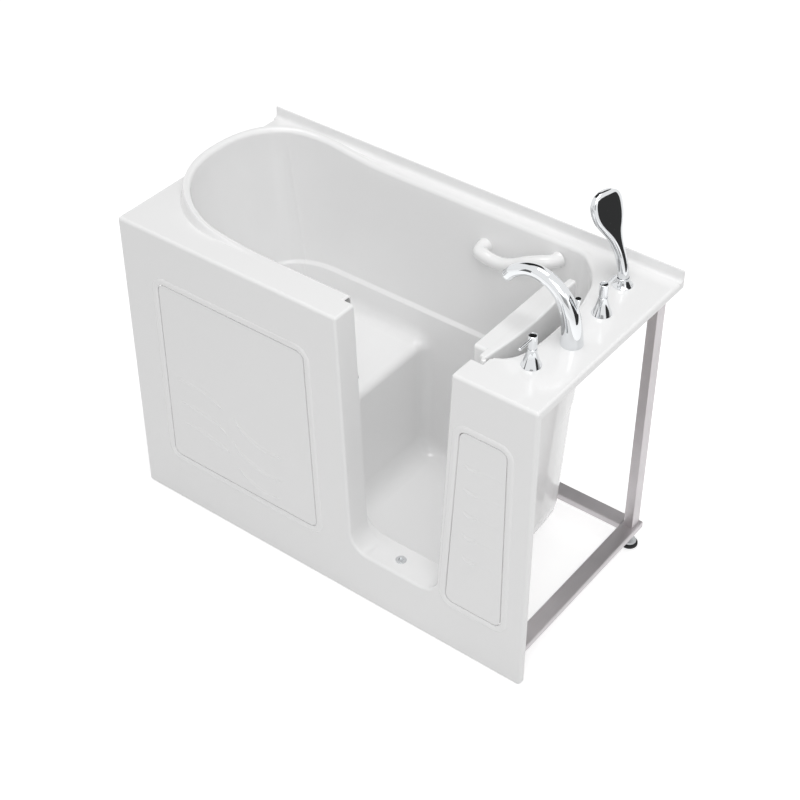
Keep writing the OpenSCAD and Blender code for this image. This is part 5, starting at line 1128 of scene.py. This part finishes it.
def shower_holder():
    """A bell with a bore for the hand shower."""
    bell = [(16.6 + 10.4 * (1 - t) ** 1.7, 1.5 + 21.5 * t) for t in np.linspace(0, 1, 24)]
    profile = [(0, SHANK_LOW), (SHANK_R, SHANK_LOW), (SHANK_R, 0), (26.6, 0), (27, 0.5), *bell, (16.4, 23.7),
               (15.8, 24), (15.0, 24), (14.6, 23.6), (14.5, 14), (0, 14)]
    return lathe("shower_holder_form", profile, (*HOLDER, DECK), sides=96)


# Shares of the grab bar's length, of its distance from the wall and of its fall below the deck
GRAB_SHARES = [(0, 0.10, 1), (0, 0.423, 0.98), (0.035, 0.808, 0.94), (0.121, 0.962, 0.94),
               (0.242, 0.981, 1.02), (0.381, 1, 0.98), (0.541, 1, 0.706), (0.701, 0.962, 0.294),
               (0.831, 0.846, 0.059), (0.926, 0.635, 0), (0.983, 0.346, 0), (1, 0.05, 0)]
GRAB_X, GRAB_LONG, GRAB_OUT, GRAB_DOWN, GRAB_FALL = 331.0, 231.0, 52.0, 51.0, 51.0
GRAB_R, GRAB_FLARE, FLARE_SHARE = 18.7, 4.2, 0.022


def grab_bar():
    """One bent bar that runs into the wall at both ends, a little wider where it meets it."""
    line = eased([(GRAB_X - GRAB_LONG * (1 - s), WELL_Y1 - GRAB_OUT * o, DECK - GRAB_DOWN - GRAB_FALL * f)
                  for s, o, f in GRAB_SHARES], 90)
    run = np.linspace(0, 1, 90)
    radii = GRAB_R + GRAB_FLARE * (np.exp(-run / FLARE_SHARE) + np.exp(-(1 - run) / FLARE_SHARE))
    return swept("grab_bar_form", line, radii, 40)


# The frame and what stands under the deck

FOOT_X = 619.0
TUBES = {
    "front_rail": [((-595, -316, 58), (595, -268, 80), 0)],
    "rear_rail": [((-595, 284, 58), (595, 332, 80), 0)],
    "left_rail": [((-643, -316, 58), (-595, 332, 80), 1)],
    "right_rail": [((595, -316, 58), (643, 332, 80), 1)],
    "corner_posts": [((side * FOOT_X - 15, y, 80), (side * FOOT_X + 15, y + 38, 934), 2)
                     for side in (-1, 1) for y in (-310, 288)],
    "top_rail": [((612, -272, 914), (634, 288, 934), 1)],
    "seat_frames": [((x - 15, -306, 419), (x + 15, 322, 444), 1) for x in (-500, -150)] +
                   [((x - 15, y, 80), (x + 15, y + 30, 419), 2) for x in (-500, -150) for y in (-306, 292)],
}
STEEL = ("steel_x", "steel_y", "steel_z")
TUBE_WALL = 2.0
SUPPLY_R, SUPPLY_BEND, TAIL_Z, JET_PIPE_R = 8.0, 16.0, 130.0, 16.0
PAD = [(0, 0), (23.6, 0), (25, 1.4), (25, 7.6), (23.8, 9.4), (22, 10), (0, 10)]
SUPPLY_RUNS = {
    "hot_pipe": [(523, -245, 148), (523, -245, 850), (555, -184, 850), (555, -184, 868)],
    "cold_pipe": [(578, -245, 148), (578, -245, 850), (579, 91, 850), (579, 91, 868)],
}


def tubes(name, parts, edge):
    shape = Shape()
    for low, high, axis in parts:
        shape.tube(low, high, axis, TUBE_WALL, edge)
    return solid(name + "_form", shape)


def foot(name, x, y, pitch):
    """A foot's cup and its threaded stud."""
    profile = [(0, 10), (18.4, 10), (20, 11.6), (20, 15.5), (18.6, 18.4), (12, 21.6), (9, 24), (7.25, 24.4),
               (7.25, 76), (6.5, 77), (0, 77)]
    made = lathe(name + "_form", profile, (x, y, 0), sides=48)
    # The thread ends under the stud's end, because its ridge needs room there
    return merged(made, threaded("thread", (x, y, 26), 7.2, pitch, 49))


def hexagon(shape, at, low, high, r, bore):
    """A chamfered hexagon nut."""
    shape.turned([(bore, low), (r * 0.9, low), (r, low + 0.09 * r), (r, high - 0.09 * r), (r * 0.9, high),
                  (bore, high)], (*at, 0), sides=6, closed=True)


def supply_pipe(name, path):
    """A brass pipe with a union nut over its threaded tail."""
    made = swept(name + "_form", bent(path, SUPPLY_BEND), SUPPLY_R, 28)
    x, y = path[0][:2]
    profile = [(6.8, 0), (9.2, 0), (9.7, 0.6), (9.7, 19), (10.4, 20), (0, 20)]
    tail = Shape().turned(profile, (x, y, TAIL_Z), sides=40)
    hexagon(tail, (x, y), TAIL_Z + 20, TAIL_Z + 28, 12, 7.9)
    return merged(made, solid("tail", tail), threaded("thread", (x, y, TAIL_Z + 2), 9.6, 1.8, 16))


def manifold():
    """The jets' pipe: along the jets, down the left panel's side and back to the pump, with its collars."""
    pipe_y, left, low = -277, -430, PUMP[2]
    path = [(-92, pipe_y, JET_Z), (left, pipe_y, JET_Z), (left, pipe_y, low), (left, PUMP[1], low),
            (-400, PUMP[1], low)]
    made = swept("jet_manifold_form", bent(path, 26, 12), JET_PIPE_R, 40)
    collars = Shape()
    for at, way, length in (((-102, pipe_y, JET_Z), (1, 0, 0), 12), ((left, pipe_y, 618), (0, 0, -1), 22),
                            ((left, pipe_y, 262), (0, 0, -1), 22), ((left, -240, low), (0, 1, 0), 20),
                            ((-412, PUMP[1], low), (1, 0, 0), 12)):
        collars.turned(rod(19, 0, length, 0.8), at, way, 40)
    for x in JETS_X:
        collars.turned(rod(19, -15, 15, 0.6), (x, pipe_y, JET_Z), (1, 0, 0), 40)
        collars.turned([(0, 0), (14, 0), (14, 16)], (x, pipe_y, JET_Z), (0, 1, 0), 32)
    return merged(made, solid("collars", collars))


def wet_end():
    """The pump's volute, its screws, and the suction pipe that rises to the cover."""
    shape = Shape().turned([(0, -400), (30, -400), (33, -398), (58, -397), (69, -392), (74, -383), (75, -374),
                            (75, -349), (73.6, -347), (73.6, -343), (75, -341), (75, -332), (73.5, -330),
                            (0, -330)], PUMP, (1, 0, 0), 96)
    for t in np.radians(np.arange(22.5, 360, 45)):
        place = (PUMP[0], PUMP[1] + 66 * math.cos(t), PUMP[2] + 66 * math.sin(t))
        shape.turned([(0, -398), (3.4, -398), (4, -397.4), (4, -386), (0, -386)], place, (1, 0, 0), 6)
    x, z = SUCTION
    path = [(x, -263, z), (x, -281, z), (x, -281, 285), (-365, PUMP[1], 285), (-365, PUMP[1], 250)]
    return merged(solid("pump_wet_end_form", shape), swept("suction", bent(path, 17), JET_PIPE_R, 40))


def motor(fins):
    """The motor's case with cooling fins, and its fan cover at the far end."""
    profile = [(0, -330), (57, -330), (60, -327), (60, -321), (55, -318), (55, -192), (61, -190),
               (61.8, -188), (61.8, -152), (60, -146), (54, -141.5), (46, -140), (20, -140), (18, -141),
               (0, -141)]
    case = lathe("pump_motor_form", profile, PUMP, (1, 0, 0), 96)
    fin = solid("fins", Shape().block((-319, -1.0, 52), (-191, 1.0, 61.6)))
    grown_by(cooling_fins, fin, Count=fins, Turn=2 * math.pi / fins)
    fin.data.transform(Matrix.Translation([c * MM for c in PUMP]))
    return merged(case, fin)


# Operators: one for each piece or group of like pieces

def plain(key, body="tub", **widths):
    """Softened copies of CAD nodes on one body: each has the radius of its edges."""
    for node, width in widths.items():
        finished(softened(node, width), key, body)


class BATHTUB_OT_skin(bpy.types.Operator):
    """Moulded skin: apron, deck, doorway surround and well in one piece"""
    bl_idname = "bathtub.skin"
    bl_label = "Moulded skin"

    def execute(self, context):
        finished(skin(context.scene.bathtub_sizes), "gelcoat",
                 nodes=("basin", "deck", "front_apron", "door_surround"), sharp=40)
        return {"FINISHED"}


class BATHTUB_OT_panels(bpy.types.Operator):
    """Access panels with their moulded waves, the beads round them and their clips"""
    bl_idname = "bathtub.panels"
    bl_label = "Access panels"

    def execute(self, context):
        sizes = context.scene.bathtub_sizes
        high = sizes.wave_height / MM
        for side, corners, relief in (("left", PANEL_LEFT, wave_relief(high)),
                                      ("right", PANEL_RIGHT, ripple_relief(high))):
            panel = slab(corners, PANEL_R, FACE_Y, FACE_Y + PANEL_T, RELIEF_PITCH, relief, PANEL_EDGE)
            finished(solid(f"{side}_access_panel_form", panel), "gelcoat", weighted=False)
        beads = panel_beads(sizes.bead_height / MM, sizes.bead_width / MM / 2)
        finished(beads, "gelcoat", nodes=(), sharp=60, weighted=False)
        plain("zinc", panel_clips=0.4)
        return {"FINISHED"}


class BATHTUB_OT_door(bpy.types.Operator):
    """Inward-opening door: outer shell, inner shell with its flange, and the seal"""
    bl_idname = "bathtub.door"
    bl_label = "Door"

    def execute(self, context):
        sizes = context.scene.bathtub_sizes
        finished(door_outer(sizes), "gelcoat", "door", ("door_outer_shell",), 50)
        finished(door_inner(sizes), "gelcoat", "door", ("door_inner_shell",), 50, weighted=False)
        finished(door_seal(), "rubber", "door", weighted=False)
        return {"FINISHED"}


class BATHTUB_OT_hinges(bpy.types.Operator):
    """Three butt hinges with their pins"""
    bl_idname = "bathtub.hinges"
    bl_label = "Hinges"

    def execute(self, context):
        plain("steel_z", "door", door_hinge_leaves=0.35)
        plain("steel_z", frame_hinge_leaves=0.35)
        plain("zinc", hinge_pins=0.5)
        return {"FINISHED"}


class BATHTUB_OT_latch(bpy.types.Operator):
    """Latch: a lever on its base and pivot screw, and the keeper on the door"""
    bl_idname = "bathtub.latch"
    bl_label = "Latch"

    def execute(self, context):
        plain("chrome", latch_base=1.2, latch_pivot=0.8)
        plain("chrome", "latch", latch_lever=1.6)
        plain("chrome", "door", latch_keeper=1.5)
        return {"FINISHED"}


class BATHTUB_OT_frame(bpy.types.Operator):
    """Steel frame: rails, posts, seat frames and floor straps"""
    bl_idname = "bathtub.frame"
    bl_label = "Steel frame"

    def execute(self, context):
        edge = context.scene.bathtub_sizes.steel_edge / MM
        for name, parts in TUBES.items():
            finished(tubes(name, parts, edge), STEEL[parts[0][2]], sharp=50)
        plain("steel_y", floor_straps=0.6)
        return {"FINISHED"}


class BATHTUB_OT_feet(bpy.types.Operator):
    """Levelling feet with threaded studs, locknuts and rubber pads"""
    bl_idname = "bathtub.feet"
    bl_label = "Levelling feet"

    def execute(self, context):
        pitch = context.scene.bathtub_sizes.thread_pitch / MM
        nuts = Shape()
        for row, y in (("front", -291.0), ("rear", 307.0)):
            for column, x in (("left", -FOOT_X), ("right", FOOT_X)):
                corner = f"{row}_{column}"
                body = f"foot_{corner}_body"
                finished(foot(f"foot_{corner}", x, y, pitch), "zinc", body, weighted=False)
                finished(lathe(f"pad_{corner}_form", PAD, (x, y, 0)), "rubber", body)
                hexagon(nuts, (x, y), 50, 58, 13, 8.6)
        finished(solid("foot_locknuts_form", nuts), "zinc")
        return {"FINISHED"}


class BATHTUB_OT_taps(bpy.types.Operator):
    """Hot and cold taps: flared skirts, caps and levers"""
    bl_idname = "bathtub.taps"
    bl_label = "Taps"

    def execute(self, context):
        for name, at, way in (("hot", HOT_TAP, -1), ("cold", COLD_TAP, 1)):
            finished(tap_skirt(f"{name}_tap_skirt_form", at), "chrome")
            finished(tap_lever(f"{name}_tap_lever_form", at, way), "chrome", f"{name}_lever")
        return {"FINISHED"}


class BATHTUB_OT_spout(bpy.types.Operator):
    """Arched spout, its aerator and the diverter's lift rod"""
    bl_idname = "bathtub.spout"
    bl_label = "Spout and diverter"

    def execute(self, context):
        arch, aerator = spout()
        finished(arch, "chrome", weighted=False)
        finished(aerator, "chrome")
        finished(diverter_rod(), "chrome", "diverter")
        return {"FINISHED"}


class BATHTUB_OT_hand_shower(bpy.types.Operator):
    """Hand shower, its spray face and its holder"""
    bl_idname = "bathtub.hand_shower"
    bl_label = "Hand shower"

    def execute(self, context):
        finished(shower_holder(), "chrome")
        finished(handset(), "chrome", "handset_body", weighted=False)
        plate, nozzles = spray_face(context.scene.bathtub_sizes.nozzle_size)
        finished(plate, "spray", "handset_body")
        finished(nozzles, "nozzle", "handset_body", (), weighted=False)
        return {"FINISHED"}


class BATHTUB_OT_grab_bar(bpy.types.Operator):
    """Grab bar on the well's rear wall"""
    bl_idname = "bathtub.grab_bar"
    bl_label = "Grab bar"

    def execute(self, context):
        finished(grab_bar(), "gelcoat", sharp=60, weighted=False)
        return {"FINISHED"}


class BATHTUB_OT_drains(bpy.types.Operator):
    """Sill drain, floor drain with its waste pipe, and the lifting stopper"""
    bl_idname = "bathtub.drains"
    bl_label = "Drains"

    def execute(self, context):
        plain("chrome", sill_drain=0.5, floor_drain=0.6)
        plain("chrome", "stopper", drain_stopper=0.9)
        return {"FINISHED"}


class BATHTUB_OT_plumbing(bpy.types.Operator):
    """Valve bodies under the deck and the two supply pipes"""
    bl_idname = "bathtub.plumbing"
    bl_label = "Valves and supply pipes"

    def execute(self, context):
        plain("brass", valve_bodies=1.0)
        for name, path in SUPPLY_RUNS.items():
            finished(supply_pipe(name, path), "brass", weighted=False)
        return {"FINISHED"}


class BATHTUB_OT_jets(bpy.types.Operator):
    """Jets with their turning nozzles, the suction cover and the water manifold"""
    bl_idname = "bathtub.jets"
    bl_label = "Jets"

    def execute(self, context):
        plain("chrome", jet_bodies=1.0, suction_cover=0.9)
        for i in (1, 2, 3):
            plain("chrome", f"nozzle_{i}", **{f"jet_nozzle_{i}": 0.7})
        finished(manifold(), "pipe", weighted=False)
        return {"FINISHED"}


class BATHTUB_OT_pump(bpy.types.Operator):
    """Pump: wet end with its suction pipe, finned motor and cradle"""
    bl_idname = "bathtub.pump"
    bl_label = "Pump"

    def execute(self, context):
        finished(wet_end(), "pump", weighted=False)
        finished(motor(context.scene.bathtub_sizes.fins), "motor", weighted=False)
        plain("steel_x", pump_base=0.8)
        return {"FINISHED"}


# Stage: floor, lamps, cards and camera

def seen_directly(tree, inside, outside):
    """Mixes two shaders: the first for what the camera, a mirror or glass sees, the second for other rays."""
    path = put(tree, "ShaderNodeLightPath").outputs
    mirror = put(tree, "ShaderNodeMath", {0: path["Is Camera Ray"], 1: path["Is Glossy Ray"]},
                 operation="MAXIMUM")
    either = put(tree, "ShaderNodeMath", {0: mirror, 1: path["Is Transmission Ray"]}, operation="MAXIMUM")
    return put(tree, "ShaderNodeMixShader", {0: either, 1: outside, 2: inside})


def stage_floor():
    """A pale floor: it takes the tub's shadow, and lifts to white where nothing shades it."""
    made = solid("stage_floor", Shape().block((-9000, -9000, -20), (9000, 9000, 0)))
    paint = bpy.data.materials.new("stage_paper")
    tree = cleared(paint)
    paper = put(tree, "ShaderNodeBsdfDiffuse", {"Color": (0.78, 0.78, 0.78, 1)})
    glow = put(tree, "ShaderNodeEmission", {"Color": (1, 1, 1, 1), "Strength": 0.55})
    lifted = put(tree, "ShaderNodeAddShader", {0: paper, 1: glow})
    put(tree, "ShaderNodeOutputMaterial", {"Surface": seen_directly(tree, lifted, paper)})
    made.data.materials.append(paint)
    return made


def card(name, middle, facing, wide, high, tone):
    """A plain card that only reflections see."""
    mesh = bpy.data.meshes.new(name)
    mesh.from_pydata([(-wide / 2, -high / 2, 0), (wide / 2, -high / 2, 0), (wide / 2, high / 2, 0),
                      (-wide / 2, high / 2, 0)], [], [(0, 1, 2, 3)])
    turn = Vector(facing).to_track_quat("Z", "Y").to_matrix().to_4x4()
    mesh.transform(Matrix.Translation(middle) @ turn)
    made = new_object(name, mesh)
    paint = bpy.data.materials.new(name)
    tree = cleared(paint)
    glow = put(tree, "ShaderNodeEmission", {"Color": (tone, tone, tone, 1)})
    put(tree, "ShaderNodeOutputMaterial", {"Surface": glow})
    mesh.materials.append(paint)
    made.visible_camera = made.visible_diffuse = made.visible_shadow = False
    return made


def lamp(name, place, target, size, power):
    light = bpy.data.lights.new(name, "AREA")
    light.shape, light.size, light.energy = "SQUARE", size, power
    made = new_object(name, light)
    made.location = place
    made.rotation_euler = (Vector(target) - Vector(place)).to_track_quat("-Z", "Y").to_euler()
    made.visible_camera = False
    return made


class BATHTUB_OT_stage(bpy.types.Operator):
    """Studio: pale floor, white surroundings, soft lamps, reflection cards and the camera"""
    bl_idname = "bathtub.stage"
    bl_label = "Stage"

    def execute(self, context):
        scene = context.scene
        world = bpy.data.worlds.new("studio")
        scene.world = world
        tree = cleared(world)
        white, soft = [put(tree, "ShaderNodeBackground", {"Color": (1, 1, 1, 1), "Strength": strength})
                       for strength in (1.0, 0.55)]
        put(tree, "ShaderNodeOutputWorld", {"Surface": seen_directly(tree, white, soft)})
        scene.view_settings.view_transform = "Standard"
        made = [stage_floor()]
        made += [lamp(name, place, (0, 0, 0.6), 2.4, power) for name, place, power in (
            ("top_lamp", (0, 0, 6.2), 84), ("front_lamp", (2.7, -2.7, 4.4), 50),
            ("right_lamp", (4.8, -0.8, 3.4), 8))]
        made += [card("dark_card_above", (-2.1, 2.5, 3.6), (0.4655, -0.611, -0.64), 3.8, 3.2, 0.02),
                 card("dark_card_right", (3.0, 0.9, 1.35), (-1, -0.2, -0.1), 2.7, 2.0, 0.04),
                 card("grey_card_front", (-1.6, -3.0, 0.9), (0.45, 1, 0), 0.7, 1.8, 0.12),
                 card("grey_card_low", (2.6, -2.9, 1.95), (-0.55, 0.7, -0.35), 2.2, 1.3, 0.42)]
        az, el = math.radians(37.298), math.radians(39.82)
        look = Vector((-math.sin(az) * math.cos(el), math.cos(az) * math.cos(el), -math.sin(el)))
        eye = bpy.data.cameras.new("camera")
        eye.lens, eye.sensor_width, eye.clip_end = 76.62, 36, 40
        seer = new_object("camera", eye)
        seer.location = (2.22, -2.8838, 3.4627)
        seer.rotation_euler = look.to_track_quat("-Z", "Y").to_euler()
        scene.camera = seer
        return {"FINISHED"}


STEPS = (BATHTUB_OT_skin, BATHTUB_OT_panels, BATHTUB_OT_door, BATHTUB_OT_hinges, BATHTUB_OT_latch,
         BATHTUB_OT_frame, BATHTUB_OT_feet, BATHTUB_OT_taps, BATHTUB_OT_spout, BATHTUB_OT_hand_shower,
         BATHTUB_OT_grab_bar, BATHTUB_OT_drains, BATHTUB_OT_plumbing, BATHTUB_OT_jets, BATHTUB_OT_pump,
         BATHTUB_OT_stage)


class BATHTUB_PT_panel(bpy.types.Panel):
    """Sizes, colours and one button for each piece"""
    bl_label = "Bathtub"
    bl_idname = "BATHTUB_PT_panel"
    bl_space_type = "VIEW_3D"
    bl_region_type = "UI"
    bl_category = "Bathtub"

    def draw(self, context):
        for group in (context.scene.bathtub_sizes, context.scene.bathtub_colours):
            column = self.layout.column()
            for key in group.__annotations__:
                column.prop(group, key)
        for step in STEPS:
            self.layout.operator(step.bl_idname, text=step.bl_label)


CLASSES = (BathtubSizes, BathtubColours, *STEPS, BATHTUB_PT_panel)


def register():
    for one in CLASSES:
        bpy.utils.register_class(one)
    bpy.types.Scene.bathtub_sizes = PointerProperty(type=BathtubSizes)
    bpy.types.Scene.bathtub_colours = PointerProperty(type=BathtubColours)


def unregister():
    del bpy.types.Scene.bathtub_colours
    del bpy.types.Scene.bathtub_sizes
    for one in reversed(CLASSES):
        bpy.utils.unregister_class(one)


def main():
    """Builds every piece and the stage."""
    register()
    make_finishes(bpy.context.scene.bathtub_colours)
    for step in STEPS:
        group, name = step.bl_idname.split(".")
        getattr(getattr(bpy.ops, group), name)()


if __name__ == "__main__":
    main()
